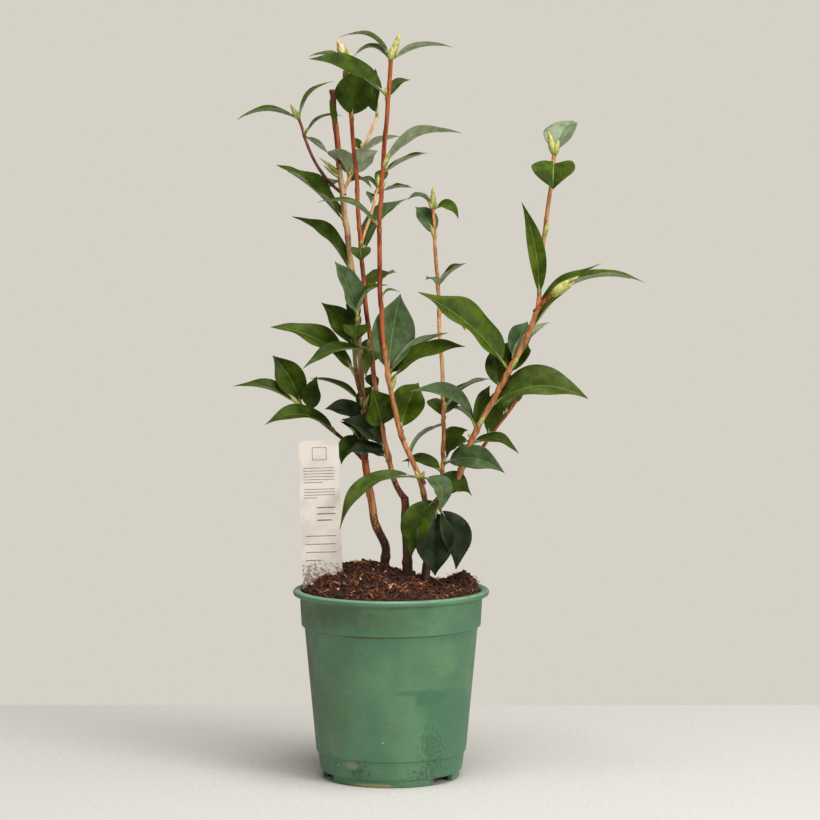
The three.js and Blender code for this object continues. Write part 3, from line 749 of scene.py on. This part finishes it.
bark_names = list(bark_tones)
barks = [bark_material(tone, *bark_tones[tone]) for tone in bark_names]
cut_wood = loose_stuff("cut_wood", "#7c3424", "#b06a48", 2.0, 0.8)
knot_spacing = 23.0
knot_rise = 0.17
knot_reach = 1.5
knot_clearance = 8
ring_pitch = 1.3
joint_sink = 2.0
collar_swell = 0.28
collar_reach = 2.5
stub_swell = 0.3
zigzag = 0.28
wander_most = 0.3
wander_pitch = 17
tone_blur = 4
wide_flutes = 0.035
narrow_flutes = 0.02
bark_grit = 0.01


def limb_point(limb, t):
    foot, tip = np.array(limb["foot"], float), np.array(limb["tip"], float)
    third = (tip[2] - foot[2]) / 3
    a = foot[0] + math.tan(math.radians(limb["lean"][0])) * third
    b = tip[0] - math.tan(math.radians(limb["lean"][1])) * third
    s = 1 - t
    point = foot + (tip - foot) * t
    point[0] = s**3 * foot[0] + 3 * s * s * t * a + 3 * s * t * t * b + t**3 * tip[0]
    for height, shift, reach in limb.get("bends", ()):
        point[0] += shift * math.exp(-(((point[2] - height) / reach) ** 2))
    return point


def limb_share(limb, height):
    return min(1.0, max(0.0, (height - limb["foot"][2]) / (limb["tip"][2] - limb["foot"][2])))


def limb_radius(limb, t):
    taper = limb["radius"][0] + (limb["radius"][1] - limb["radius"][0]) * t
    rise = t * (limb["tip"][2] - limb["foot"][2])
    return taper + limb.get("flare", 0.0) * math.exp(-rise / 5)


def unit(vector):
    return vector / max(np.linalg.norm(vector), 1e-9)


def bark_slot(plan, height, mix):
    """The bark tone at a height, from a plan like 'brown 205 red'. Tones run into each other in flecks."""
    words = plan.split()
    tone = words[0]
    for limit, after in zip(words[1::2], words[2::2]):
        if height > float(limit) + mix.normal(0, tone_blur):
            tone = after
    return bark_names.index(tone)


def bark_tube(name, limb, joints, sides):
    """A limb with the relief of its bark: knots at the leaf joints and old scars, a slight zigzag between
    them, a collar where it leaves its parent, and shallow flutes."""
    mix = np.random.default_rng(sum(map(ord, name)))
    foot, tip = limb_point(limb, 0), limb_point(limb, 1)
    length = np.linalg.norm(tip - foot)
    steps = max(6, int(length / ring_pitch))
    flutes = mix.uniform(0, 2 * math.pi, 3)
    knots = sorted(joints)
    height = foot[2] + knot_spacing * 0.6
    while height < tip[2] - 5:
        if all(abs(height - z) > knot_clearance for z in knots):
            knots.append(height)
        height += knot_spacing * mix.uniform(0.8, 1.2)
    knots = sorted(knots)
    knot_sides = {z: mix.uniform(0, 2 * math.pi) for z in knots}
    points = []
    phase = mix.uniform(0, 1)
    for i in range(steps + 1):
        t = i / steps
        along = unit(limb_point(limb, min(1, t + 0.01)) - limb_point(limb, max(0, t - 0.01)))
        side = unit(np.cross((0, 1, 0), along))
        top = np.cross(side, along)
        centre = limb_point(limb, t)
        if i == 0 and limb.get("parent"):
            centre = centre - along * joint_sink
        radius = limb_radius(limb, t)
        if limb.get("parent"):
            radius *= 1 + collar_swell * math.exp(-t * length / collar_reach)
        if limb.get("stub"):
            radius *= 1 + stub_swell * math.exp(-(((1 - t) * length - 1.5) / 2.2) ** 2)
        below = sum(1 for z in knots if z < centre[2])
        last = max([z for z in knots if z < centre[2]], default=foot[2])
        after = min([z for z in knots if z >= centre[2]], default=tip[2])
        between = (centre[2] - last) / max(1e-6, after - last)
        sway = zigzag * (1 if below % 2 else -1) * math.sin(math.pi * between)
        wander = wander_most * math.sin(t * length / wander_pitch + 6 * phase)
        centre = centre + side * (sway + wander * math.sin(math.pi * t))
        for k in range(sides):
            angle = 2 * math.pi * k / sides
            knot = sum(
                math.exp(-(((centre[2] - z) / knot_reach) ** 2))
                * (0.6 + 0.9 * max(0, math.cos(angle - turn)) ** 3)
                for z, turn in knot_sides.items()
            )
            relief = 1 + knot_rise * min(1.6, knot) + wide_flutes * math.sin(3 * angle + flutes[0] + t * 5)
            relief += narrow_flutes * math.sin(5 * angle + flutes[1] - t * 9) + mix.normal(0, bark_grit)
            points.append(centre + radius * relief * (side * math.cos(angle) + top * math.sin(angle)))
    faces = [(a, d, c, b) for a, b, c, d in tube_faces(steps + 1, sides)]
    slots = [bark_slot(limb["bark"], points[i // sides * sides][2], mix) for i in range(steps * sides)]
    faces += [tuple(range(sides)), tuple(reversed(range(steps * sides, (steps + 1) * sides)))]
    slots += [slots[0], len(barks) if limb.get("stub") else slots[-1]]
    return points, faces, slots


stem_parts = joined([bark_tube(name, limb, (), 18) for name, limb in limbs.items()])
stems = mesh_piece("woody_stems", *stem_parts[:2], [*barks, cut_wood], stem_parts[2])
face_out(stems)
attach(stems, "root")
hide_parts(*limbs)

# Foliage: each shoot carries leaves on short stalks. A leaf is leathery and faintly glossy, folded up
# along its midrib, arched, finely toothed and drawn out to a tip. Its underside is matt sage green.

# Leaf rows: height of the joint, then across, away and up to the tip, then turn, arch and width where
# they aren't the usual ones. Bud rows: height, across, away, up, radius. Tones: a letter for each leaf.

foliage = {
    "front_top_leaves": dict(
        parent="front_bough", foot=(7.2, -9, 226.3), tip=(0, -28, 472), lean=(-16, 4), radius=(1.65, 1.4),
        bark="orange 283 red", tones="fmggfmmmgmddgmmdg",
        leaves=[
            (230, 12, 22, 31, 30, 0.08, 1.4),
            (263, 50, -16, 24, 35, 0.12, 0.85),
            (268, 40, 8, 27, -35, 0.1, 0.6),
            (266.5, 8, 14, 54, 40, 0.05, 1.3),
            (314, 13, -4, 8, 10, 0.36, 0.55),
            (362.5, -41, -8, 18, 10, 0.2, 0.5),
            (388, 20, -8, 2, 12, 0.08, 0.7),
            (399.5, 30, -8, 13, 12, 0.08, 0.7),
            (404, 51, -8, 21, -25, 0.18, 0.6),
            (447, 15, 14, 13, 20, 0.15, 0.85),
            (448.5, -51, -14, 24, 42, 0.1, 0.8),
            (473, -25, 13, 2, 15, 0.3, 0.6),
            (473, 40, -6, 8, -10, 0.13, 0.45),
            (473, -33, 4, 15, 10, 0.26, 0.45),
            (265.3, 18, 42, 18, 25, 0.1, 0.9),
            (280.3, 13, 37, 17, 15, 0.14, 1),
            (230.5, 10, 36, 15, 20, 0.12, 0.95),
        ],
        buds=[(258, 4, -4, 10, 1.6), (402, 5, -2, 13, 1.7), (472, 6, -1, 18, 2.2), (472, 1, -2, 9, 2.4)],
    ),
    "middle_top_leaves": dict(
        parent="middle_bough", foot=(-1.8, 2, 211.3), tip=(-29.5, 9, 475), lean=(-12, -6), radius=(1.7, 1.3),
        bark="orange 292 red", tones="bbmdommogdfmd",
        leaves=[
            (211.5, -27, -12, 5, 40, 0.12, 1.15),
            (216, -30, -9, 22, 48, 0.1, 1.25),
            (230.5, -7, -12, 28, 115, 0.02, 2.05),
            (255.5, -7, 14, 10, 20, 0.12, 1.15),
            (285, -3, -8, -19, 30, 0.15, 0.95),
            (284, -44, -26, -12, 20, 0.11, 0.62),
            (320.5, 21, 28, 13, 0, 0.1, 1.15),
            (350.5, 0, -9, -9, 0, 0.12, 2.6),
            (345, 31, 26, 38, 0, 0.12, 0.9),
            (434.5, 6, -7, 36, 130, 0.02, 1.7),
            (473, -25, 6, 3, 10, 0.14, 0.7),
            (436.3, 2, 38, 17, 20, 0.12, 0.95),
            (451.3, 2, 32, 14, 15, 0.14, 0.9),
        ],
        buds=[(474, -6, 0, 13, 3.2), (472, 3, 2, 7, 2)],
    ),
    "left_top_leaves": dict(
        parent="left_stem", foot=(-17.8, 9, 214.3), tip=(-39, 33, 455), lean=(0, -4), radius=(2, 1.9),
        bark="brown 245 tan 405 red 438 dark", stub=True, tones="bdbddddsfmdgmd",
        leaves=[
            (218, -16, -8, 18, 40, 0.1, 1.15),
            (224.5, -15, -10, -17, 40, 0.2, 1.2),
            (231, -26, -8, 13, 45, 0.16, 1.4),
            (241.5, 6, 5, 17, 30, 0.12, 1.6),
            (247, -36, 11, 16, 12, 0.12, 0.45),
            (332, -40, -8, 39, 30, 0.12, 0.9),
            (366, -46, -11, 39, 26, 0.07, 0.95),
            (394, -9, 22, -5, 0, 0.1),
            (430, -4, -8, 18, 120, 0.03, 0.65),
            (226.3, 18, 41, 18, 20, 0.12, 0.95),
            (268.3, 17, 39, 18, 25, 0.1, 0.9),
            (289.3, -20, 40, 12, 15, 0.14, 1),
            (325.3, 2, 40, -14, 20, 0.1, 0.9),
            (409.3, 7, 36, -13, 20, 0.12, 0.9),
        ],
        buds=[(243, 4, -4, 11, 1.5), (399, -14, -3, 11, 1.3), (396, -12, -5, 9, 1.3)],
    ),
    "inner_leaves": dict(
        parent="left_top_leaves", foot=(-18.8, 12.7, 251), tip=(-21.5, -6, 306), lean=(-20, 12),
        radius=(1.5, 1.2), bark="brown 270 green", tones="mddbgf",
        leaves=[
            (265.5, -57, -8, 33, 38, 0.12, 0.8),
            (283.5, -22, 3, 31, 60, 0.08, 1.1),
            (300.5, 0, -10, -11, 0, 0.12, 2.95),
            (301, -7, 16, 13, 0, 0.12, 1.1),
            (304, -15, -6, 38, 60, 0.05, 1.3),
            (305.5, 20, -8, 21, 25, 0.25, 0.9),
        ],
        buds=[(263, -7, -3, 14, 1.2)],
    ),
    "left_twig_leaves": dict(
        parent="left_top_leaves", foot=(-32.1, 26.1, 386), tip=(-62.5, 46, 437), lean=(-52, -20),
        radius=(1.05, 0.95), bark="dark", tones="gmmm",
        leaves=[
            (424.5, 16, 8, -12, -40, 0.05, 0.55),
            (424.5, 26, -6, 13, 12, 0.22, 0.4),
            (436, -41, -6, -1, 14, 0.16, 0.5),
            (436, 24, 4, 25, 10, 0.2, 0.4),
        ],
        buds=[(435, -6, -4, 11, 1.7)],
    ),
    "back_twig_leaves": dict(
        parent="left_top_leaves", foot=(-32.1, 25.9, 384), tip=(-9.3, 44, 438), lean=(14, 22),
        radius=(1.1, 0.95), bark="pale", tones="dssmdd",
        leaves=[
            (393, 16, 20, -4, 20, 0.2, 0.8),
            (396.5, -15, -20, 17, -10, 0.18, 1.35),
            (397.5, 19, -4, 17, -60, 0.08, 1.5),
            (411, 28, 8, 13, -25, 0.1, 0.8),
            (414, -6, 10, 9, 20, 0.1),
            (437, -1, 14, 33, 60, 0.05, 1.2),
        ],
        buds=[],
    ),
    "middle_twig_leaves": dict(
        parent="middle_top_leaves", foot=(-19.9, 5.7, 352), tip=(-8.3, 14, 391), lean=(18, 16),
        radius=(1, 0.9), bark="pale", tones="ddd",
        leaves=[
            (383, -3, 22, -4, 0, 0.2),
            (389, -13, 3, 7, 10, 0.2),
            (390, 5, 17, 12, 10, 0.1),
        ],
        buds=[(390, 0, -1, 9, 1.5)],
    ),
    "slender_shoot_leaves": dict(
        parent="right_bough", foot=(33, -8.3, 184), tip=(27.8, 36, 376), lean=(4, -3), radius=(1.45, 1.15),
        bark="brown 200 orange 250 pale 300 orange", tones="dgddogmdmgmgdmdg",
        leaves=[
            (202, -27, 8, 7, 30, 0.16, 1.0),
            (208, 40, -30, -3, 60, 0.14, 0.85),
            (214, 17, 16, 15, 40, 0.2),
            (234, -23, 12, -30, 10, 0.2, 0.5),
            (238, -11, 20, 10, 20, 0.12),
            (239, 14, 20, 15, 30, 0.1),
            (243, 33, 12, 20, -10, 0.15, 0.8),
            (324, 19, -8, 16, 20, 0.1),
            (324, -8, -14, 5, 0, 0.2),
            (357, -13, 14, 20, 30, 0.1, 1.2),
            (375, 17, -8, -6, 45, 0.32),
            (376, -17, -9, 6, 20, 0.28),
            (190, 12, 36, -4, 15, 0.12, 0.9),
            (220, 18, 38, -14, 25, 0.14, 0.95),
            (244, 18, 36, -9, 20, 0.1, 0.9),
            (307, 18, 38, -14, 15, 0.12, 0.9),
        ],
        buds=[(356, -3, -4, 10, 1.3), (375, 0, -1, 16, 2), (375, -4, -2, 9, 1.3)],
    ),
    "right_lower_leaves": dict(
        parent="right_bough", foot=(46, -9, 204.8), tip=(96, -28, 313.7), lean=(14, 14), radius=(1.9, 1.7),
        bark="orange", tones="dmdgoddmggmd",
        leaves=[
            (224, -16, 6, -12, 65, 0.25, 1.15),
            (222, 32, -4, -6, 30, 0.2, 0.85),
            (230, 10, 14, 30, 70, 0.1),
            (231.5, -44, -12, 26, 45, 0.22, 0.64),
            (246, 65, -14, 7, 42, 0.17),
            (258, -2, 14, 29, 20, 0.08, 1.15),
            (267, 15, 24, 22, 25, 0.1, 1.35),
            (270.5, -60, -6, 52, 42, 0.07, 0.85),
            (271, 27, 16, 31, -40, 0.1, 0.8),
            (276, 10, 24, 26, 20, 0.1),
            (294, 48, 6, 47, 22, 0.08, 0.65),
            (261.8, 18, 40, -9, 20, 0.12, 0.95),
        ],
        buds=[(233, 5, -5, 10, 1.6), (272, 6, -4, 10, 1.5)],
    ),
    "right_top_leaves": dict(
        parent="right_lower_leaves", foot=(96, -28, 314), tip=(106.5, -16, 413), lean=(0, 4),
        radius=(1.5, 1.3), bark="orange", tones="mmp",
        leaves=[
            (315, -11, 9, 66, 40, 0.07, 0.42),
            (407, -1, -14, -18, 0, 0.12, 3.1),
            (411, 14, 26, 23, 0, 0.1, 1.5),
        ],
        buds=[(357, 3, -1, 13, 1.4), (411, -4, -2, 16, 2.4), (411, 3, 0, 10, 2)],
    ),
    "right_twig_leaves": dict(
        parent="right_lower_leaves", foot=(94.5, -27.6, 311), tip=(106.5, -36, 323), lean=(40, 50),
        radius=(1.2, 1.1), bark="red", tones="m",
        leaves=[(321, 60, -4, 8, 10, 0.14, 0.55)],
        buds=[(321, 17, -3, 12, 3.3)],
    ),
    "right_low_leaves": dict(
        parent="right_bough", foot=(44, -8.6, 202), tip=(83.5, 18, 249), lean=(46, 38), radius=(1.3, 1.1),
        bark="red", tones="dm",
        leaves=[(224, 8, 14, 33, 60, 0.1), (238, 12, 38, 10, 0, 0.15)],
        buds=[],
    ),
    "low_left_leaves": dict(
        parent="left_stem", foot=(-17.3, 9, 209), tip=(-60, 30, 243.5), lean=(-46, -58), radius=(1.25, 1.05),
        bark="dark", tones="mdmmd",
        leaves=[
            (226, -48, -12, 7, 30, 0.2, 0.85),
            (240, 5, -10, 25, 130, 0.02, 1.25),
            (245, -20, 9, 34, 65, 0.08, 1.2),
            (245, -46, -4, 14, 22, 0.12, 0.7),
            (215, 17, 38, 17, 20, 0.12, 0.95),
        ],
        buds=[(244, -9, -4, 9, 1.8)],
    ),
    "low_front_leaves": dict(
        parent="front_bough", foot=(21, -8.5, 197), tip=(19.5, -15, 200.5), lean=(-10, -10),
        radius=(1.4, 1.2), bark="brown", tones="og",
        leaves=[
            (201, -53, -10, -34, 20, 0.23, 0.7),
            (201, 12, -8, -22, 25, 0.38, 1.4),
        ],
        buds=[(199.5, 2, -5, 6, 1.3)],
    ),
    "foot_leaves": dict(
        parent="right_stem", foot=(24, -8, 168), tip=(31.5, -18, 188), lean=(30, 12), radius=(1.6, 1.3),
        bark="brown", tones="dbbd",
        leaves=[
            (188, -18, -8, -39, 50, 0.14, 1.15),
            (182, -1, -6, -46, 10, 0.12, 1.4),
            (182, 12.5, -5, -42, 40, 0.12, 1.2),
            (184, 23, 8, 3, 50, 0.42, 1.75),
        ],
        buds=[],
    ),
}

leaf_half_width = 0.2
leaf_fold = 0.42
blade_start = 0.1
leaf_thickness = 0.45
tooth_pitch = 2.0
tooth_height = 0.1
vein_pairs = 7
rib_share = 0.03
rib_reach = 0.86
rib_steps = 16
twist_most = 9
stalk_girth = 0.85
stalk_foot = 1.35
rib_tip = 0.12
usual_leaf = [0, 0.12, 1]
bud_core = 0.82
scale_turn = 2.4
scale_wrap = 78
side_bud_share = 0.75
side_bud_length = (4.2, 6.4)
side_bud_radius = (0.75, 1.05)
blade_columns = [-1, -0.9, -0.7, -0.46, -0.24, -rib_share, 0, rib_share, 0.24, 0.46, 0.7, 0.9, 1]


def leaf_outline(t):
    """Half width of the blade as a share of its widest, from the end of the stalk to the drawn-out tip."""
    if t <= blade_start:
        return 0.0
    u = min(1.0, (t - blade_start) / (1 - blade_start))
    tail = max(0.0, (u - 0.6) / 0.4)
    return max(0.0, math.sin(math.pi * u**0.8)) ** 0.9 * (1 - 0.55 * tail**1.5)


# A camellia leaf has a thick waxy cuticle, here dulled by a little dust: its upper face has broad soft
# highlights over an uneven deep green. Some leaves are yellower. The greyer and paler tones g, s and p are
# painted sheen, the glossy upper face's reflection of the bright surround put into its colour; s is the
# palest, for leaves that stand in shade, and p a darker copy for a leaf in full light. The near-black tone b
# is painted shade, for leaves deep inside the bush.
leaf_tones = {
    "d": ("#2a380b", "#3f5314"),
    "m": ("#2f400b", "#495c14"),
    "o": ("#3a4b18", "#56662b"),
    "f": ("#3f520f", "#5e701b"),
    # g, s and p: painted sheen, the reflection of the bright surround on a glossy upper face.
    "g": ("#3c4f2f", "#5a6e49"),
    # b: painted shade, a near-black copy of the leaf green for leaves deep inside the bush.
    "b": ("#1a2416", "#2f3b26"),
    "s": ("#98a48c", "#b9c2ad"),
    "p": ("#67765c", "#87957b"),
}


def waxy_leaf(tone, dark, light):
    material, tree, shader, place = start_finish(f"waxy_leaf_{tone}", 0.45, 1.4)
    colour = clouded(tree, place, dark, light, 9.0, 0.34, 0.66)
    colour = flecked(tree, place, colour, "#a9ab7c", 5.0, 0.07, 0.4)
    tree.links.new(colour, shader.inputs["Base Color"])
    shader.inputs["Specular IOR Level"].default_value = 0.12
    grained(tree, shader, place, 2.6, 0.03, fine=1.0)
    return material


def soft_green(name, dark, light, roughness, size=4.0):
    """The matt parts of a leaf or bud: two close tones over a fine grain."""
    return two_toned(name, dark, light, size, roughness, 1.42, 0.34, 0.66, (0.7, 0.04))


leaf_letters = list(leaf_tones)
leaf_materials = [waxy_leaf(letter, *leaf_tones[letter]) for letter in leaf_letters]
leaf_materials += [
    soft_green("leaf_underside", "#84916d", "#a0ab8b", 0.55),
    # The pale midrib colour also paints a bright rim, a painted highlight, on every leaf's edge.
    soft_green("leaf_midrib_and_painted_rim", "#4c6322", "#6b7f35", 0.45, 3.0),
    soft_green("leaf_stalk", "#66702c", "#969448", 0.5, 3.0),
]
under_slot, rib_and_painted_rim_slot, stalk_slot = (len(leaf_tones) + k for k in range(3))


def leaf(shoot, row, tone, mix):
    """One leaf as a closed blade of two faces with a toothed edge, and its stalk and raised lower rib."""
    height, across, away, up, turn, arch, wide = [*row, *usual_leaf[len(row) - 4 :]]
    joint = limb_point(shoot, limb_share(shoot, height))
    chord = np.array([across, away, up], float)
    length = np.linalg.norm(chord)
    ahead = unit(chord)
    lift = unit(np.array([0, 0, 1.0]) - ahead * ahead[2])
    flank = unit(np.cross(ahead, lift))
    tip = joint + chord
    control = joint + 0.5 * chord + 2 * arch * length * lift
    roll = math.radians(turn) * (-1 if across < 0 else 1)
    twist = math.radians(mix.uniform(-twist_most, twist_most))
    wave_phase, wave_count = mix.uniform(0, 2 * math.pi, 2), mix.uniform(1.3, 2.2)
    wave_height = mix.uniform(0.012, 0.026) * length * wide
    fold = leaf_fold * mix.uniform(0.8, 1.2)
    steps = 2 * max(9, int(length * (1 - blade_start) / tooth_pitch))

    def frame_at(t):
        s = 1 - t
        centre = s * s * joint + 2 * s * t * control + t * t * tip
        along = unit(2 * s * (control - joint) + 2 * t * (tip - control))
        angle = roll + twist * (t - 0.5)
        flat = unit(np.cross(flank, along))
        top = unit(flat * math.cos(angle) + flank * math.sin(angle))
        return centre, np.cross(along, top), top

    def blade_point(t, s, edge):
        centre, side, top = frame_at(t)
        u = (t - blade_start) / (1 - blade_start)
        half = leaf_half_width * wide * length * leaf_outline(t)
        reach = abs(s)
        out = s * (half + (edge if reach > 0.95 else 0.4 * edge if reach > 0.8 else 0))
        lift_up = half * fold * (1.22 * reach - 0.22 * reach * reach)
        wave = math.sin(2 * math.pi * wave_count * u + wave_phase[0 if s < 0 else 1])
        lift_up += wave_height * reach**2 * wave * min(1, 4 * (1 - u))
        vein = math.cos(2 * math.pi * vein_pairs * (u - 0.2 * reach))
        lift_up += 0.1 * vein * reach * (1 - reach) * 4 * min(1, half / 4)
        return centre + side * out + top * lift_up, top

    points, faces, slots = [], [], []
    columns = len(blade_columns)
    start = blade_start + 0.01
    tops, lows = [], []
    for i in range(steps + 1):
        t = start + (0.995 - start) * i / steps
        tooth = 0.0
        if 0 < i < steps:
            tooth = min(1.0, length * wide / 45) * tooth_height * (1 if i % 2 else -0.4)
        row_top, row_low = [], []
        for s in blade_columns:
            point, top = blade_point(t, s, tooth)
            thick = leaf_thickness * (1 - 0.55 * abs(s)) * (0.5 + 0.5 * min(1, 6 * (1 - t)))
            row_top.append(len(points))
            points.append(point + top * thick / 2)
            row_low.append(len(points))
            points.append(point - top * thick / 2)
        tops.append(row_top)
        lows.append(row_low)
    tone_slot = leaf_letters.index(tone)
    for i in range(steps):
        for k in range(columns - 1):
            rib = blade_columns[k] >= -rib_share - 1e-6 and blade_columns[k + 1] <= rib_share + 1e-6
            faces.append((tops[i][k], tops[i + 1][k], tops[i + 1][k + 1], tops[i][k + 1]))
            slots.append(rib_and_painted_rim_slot if rib and tone not in "dbs" else tone_slot)
            faces.append((lows[i][k], lows[i][k + 1], lows[i + 1][k + 1], lows[i + 1][k]))
            slots.append(under_slot)
        # The edge faces take the pale midrib colour: a painted bright rim along the leaf's margin.
        for k in (0, columns - 1):
            faces.append((tops[i][k], lows[i][k], lows[i + 1][k], tops[i + 1][k]))
            slots.append(rib_and_painted_rim_slot)
    for i in (0, steps):
        for k in range(columns - 1):
            faces.append((tops[i][k], tops[i][k + 1], lows[i][k + 1], lows[i][k]))
            slots.append(tone_slot)

    sides = 8
    base = len(points)
    for i in range(rib_steps + 1):
        t = rib_reach * i / rib_steps
        centre, side, top = frame_at(t)
        girth = stalk_girth * (1 - t) ** 0.7 * min(1.0, length / 34)
        girth = girth * (stalk_foot if i == 0 else 1.0) + rib_tip
        sunk = 0.0 if t < blade_start else min(1.0, (t - blade_start) * 10)
        points += ring(centre - top * (girth * 0.75 * sunk), girth, sides, side, top)
    faces += tube_faces(rib_steps + 1, sides, base)
    slots += [stalk_slot] * (2 * sides) + [under_slot] * ((rib_steps - 2) * sides)
    faces.append(tuple(base + k for k in range(sides)))
    faces.append(tuple(base + rib_steps * sides + k for k in range(sides)))
    slots += [stalk_slot, under_slot]
    return points, faces, slots


# Buds are packed scales, yellow-green and pointed. The fat ones that hold a flower show a little pink.
bud_materials = [
    soft_green("bud_scale_green", "#7f8f33", "#a3ad4c", 0.45, 3.0),
    soft_green("bud_scale_pale", "#a7a855", "#cdca84", 0.45, 3.0),
    soft_green("bud_scale_pink", "#cf9d80", "#ecc3a4", 0.5, 3.0),
]


def bud_girth(t):
    return float(np.interp(t, [0, 0.15, 0.35, 0.7, 0.9, 1], [0.6, 0.86, 1, 0.72, 0.34, 0.06]))


def bud(joint, along, radius, mix, pink=False):
    """A pointed core wrapped in scales that overlap by turns round it."""
    ahead = unit(along)
    side = unit(np.cross((0, 1, 0), ahead))
    top = np.cross(side, ahead)
    sides, steps = 8, 7
    points = []
    for i in range(steps + 1):
        t = i / steps
        points += ring(joint + along * t, bud_core * radius * bud_girth(t), sides, side, top)
    faces = tube_faces(steps + 1, sides)
    faces += [tuple(range(sides)), tuple(range(steps * sides, (steps + 1) * sides))]
    parts = [(points, faces, [1] * len(faces))]
    scales = 6 if radius > 1.8 else 4
    for n in range(scales):
        begin = 0.02 + 0.42 * n / scales
        finish = min(0.99, begin + 0.62)
        turn = n * scale_turn + mix.uniform(-0.3, 0.3)
        wrap = math.radians(scale_wrap - 6 * n / scales)
        across_steps, up_steps = 6, 7
        points, faces = [], []
        for layer in (0, 1):
            for i in range(up_steps + 1):
                v = i / up_steps
                t = begin + (finish - begin) * v
                spread = wrap * max(0.02, math.cos(v * math.pi / 2) ** 0.55)
                girth = radius * bud_girth(t) * (1.06 - 0.03 * n + 0.1 * v) - 0.12 * layer
                for k in range(across_steps + 1):
                    angle = turn + spread * (2 * k / across_steps - 1)
                    out = side * math.cos(angle) + top * math.sin(angle)
                    points.append(joint + along * t + girth * out)
        row = across_steps + 1
        shift = row * (up_steps + 1)
        for i in range(up_steps):
            for k in range(across_steps):
                a = i * row + k
                faces.append((a, a + 1, a + 1 + row, a + row))
                faces.append((a + shift, a + row + shift, a + 1 + row + shift, a + 1 + shift))
        edge = list(range(row)) + [i * row + row - 1 for i in range(1, up_steps + 1)]
        edge += [up_steps * row + k for k in range(row - 2, -1, -1)]
        edge += [i * row for i in range(up_steps - 1, 0, -1)]
        for k, here in enumerate(edge):
            following = edge[(k + 1) % len(edge)]
            faces.append((here, here + shift, following + shift, following))
        tint = 2 if pink and n >= scales - 3 else (0 if n % 2 == 0 else 1)
        parts.append((points, faces, [tint] * len(faces)))
    return joined(parts)


shoot_parts, bud_parts = [], []
for name, shoot in foliage.items():
    mix = np.random.default_rng(sum(map(ord, name)))
    shoot_parts.append(bark_tube(name, shoot, [row[0] for row in shoot["leaves"]], 14))
    blades = [leaf(shoot, row, tone, mix) for row, tone in zip(shoot["leaves"], shoot["tones"])]
    points, faces, slots = joined(blades)
    piece = mesh_piece(name.replace("_leaves", "") + "_blades", points, faces, leaf_materials, slots)
    face_out(piece)
    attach(piece, "root")
    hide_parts(name)
    for height, across, away, up, radius in shoot["buds"]:
        joint = limb_point(shoot, limb_share(shoot, height))
        flower = radius > 3 and across < 0
        bud_parts.append(bud(joint, np.array([across, away, up], float), radius, mix, flower))
    for row in shoot["leaves"]:
        if mix.uniform() < side_bud_share:
            joint = limb_point(shoot, limb_share(shoot, row[0] + 1.5))
            lean_out = unit(np.array(row[1:4], float)) * 0.55 + np.array([0, 0, 0.8])
            along = unit(lean_out) * mix.uniform(*side_bud_length)
            bud_parts.append(bud(joint, along, mix.uniform(*side_bud_radius), mix))

twig_parts = joined(shoot_parts)
shoots = mesh_piece("leafy_shoots", *twig_parts[:2], [*barks, cut_wood], twig_parts[2])
face_out(shoots)
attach(shoots, "root")
scale_parts = joined(bud_parts)
buds = mesh_piece("leaf_and_flower_buds", *scale_parts[:2], bud_materials, scale_parts[2])
face_out(buds)
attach(buds, "root")

# Floor and light: a plain pale floor that ends a little behind the pot, an even pale surround, and
# large soft lights above and to the right.

table_back = 0.27
table_front = -0.9
table_half = 0.9
surround_glow = 0.45
surround_seen = 0.55

table_paint = two_toned("matt_pale_table", "#cdcbc8", "#d8d6d3", 3.0, 0.7, 1.5, 0.3, 0.7)
corners = [
    (-table_half, table_front, 0), (table_half, table_front, 0),
    (table_half, table_back, 0), (-table_half, table_back, 0),
]
table_top = mesh_piece("table_top", np.array(corners) * 1000, [(0, 1, 2, 3)], [table_paint])

# The camera sees the surround at full brightness, but it lights the plant at less than half of that.
surround = bpy.data.worlds.new("pale_surround")
surround.use_nodes = True
tree = surround.node_tree
seen = add_node(tree, "ShaderNodeLightPath", {}).outputs["Is Camera Ray"]
lift = {"operation": "MULTIPLY_ADD", 0: seen, 1: surround_seen, 2: surround_glow}
bright = add_node(tree, "ShaderNodeMath", lift).outputs[0]
tree.nodes["Background"].inputs["Color"].default_value = linear("#d6d1c7")
tree.links.new(bright, tree.nodes["Background"].inputs["Strength"])
bpy.context.scene.world = surround


def soft_light(name, place, target, size, power, colour):
    lamp = bpy.data.lights.new(name, "AREA")
    lamp.shape = "RECTANGLE"
    lamp.size, lamp.size_y = size
    lamp.energy = power
    lamp.color = linear(colour)[:3]
    holder = bpy.data.objects.new(name, lamp)
    holder.location = place
    holder.rotation_euler = (Vector(target) - Vector(place)).to_track_quat("-Z", "Y").to_euler()
    bpy.context.scene.collection.objects.link(holder)


soft_light("overhead_light", (0.25, -0.5, 1.8), (0.0, 0.0, 0.25), (1.2, 1.0), 32.0, "#fffdfa")
soft_light("right_light", (1.3, -1.3, 0.9), (0.0, 0.0, 0.22), (0.7, 0.7), 18.0, "#fffcf6")

bpy.context.scene.view_settings.view_transform = "Standard"
bpy.context.scene.view_settings.look = "None"
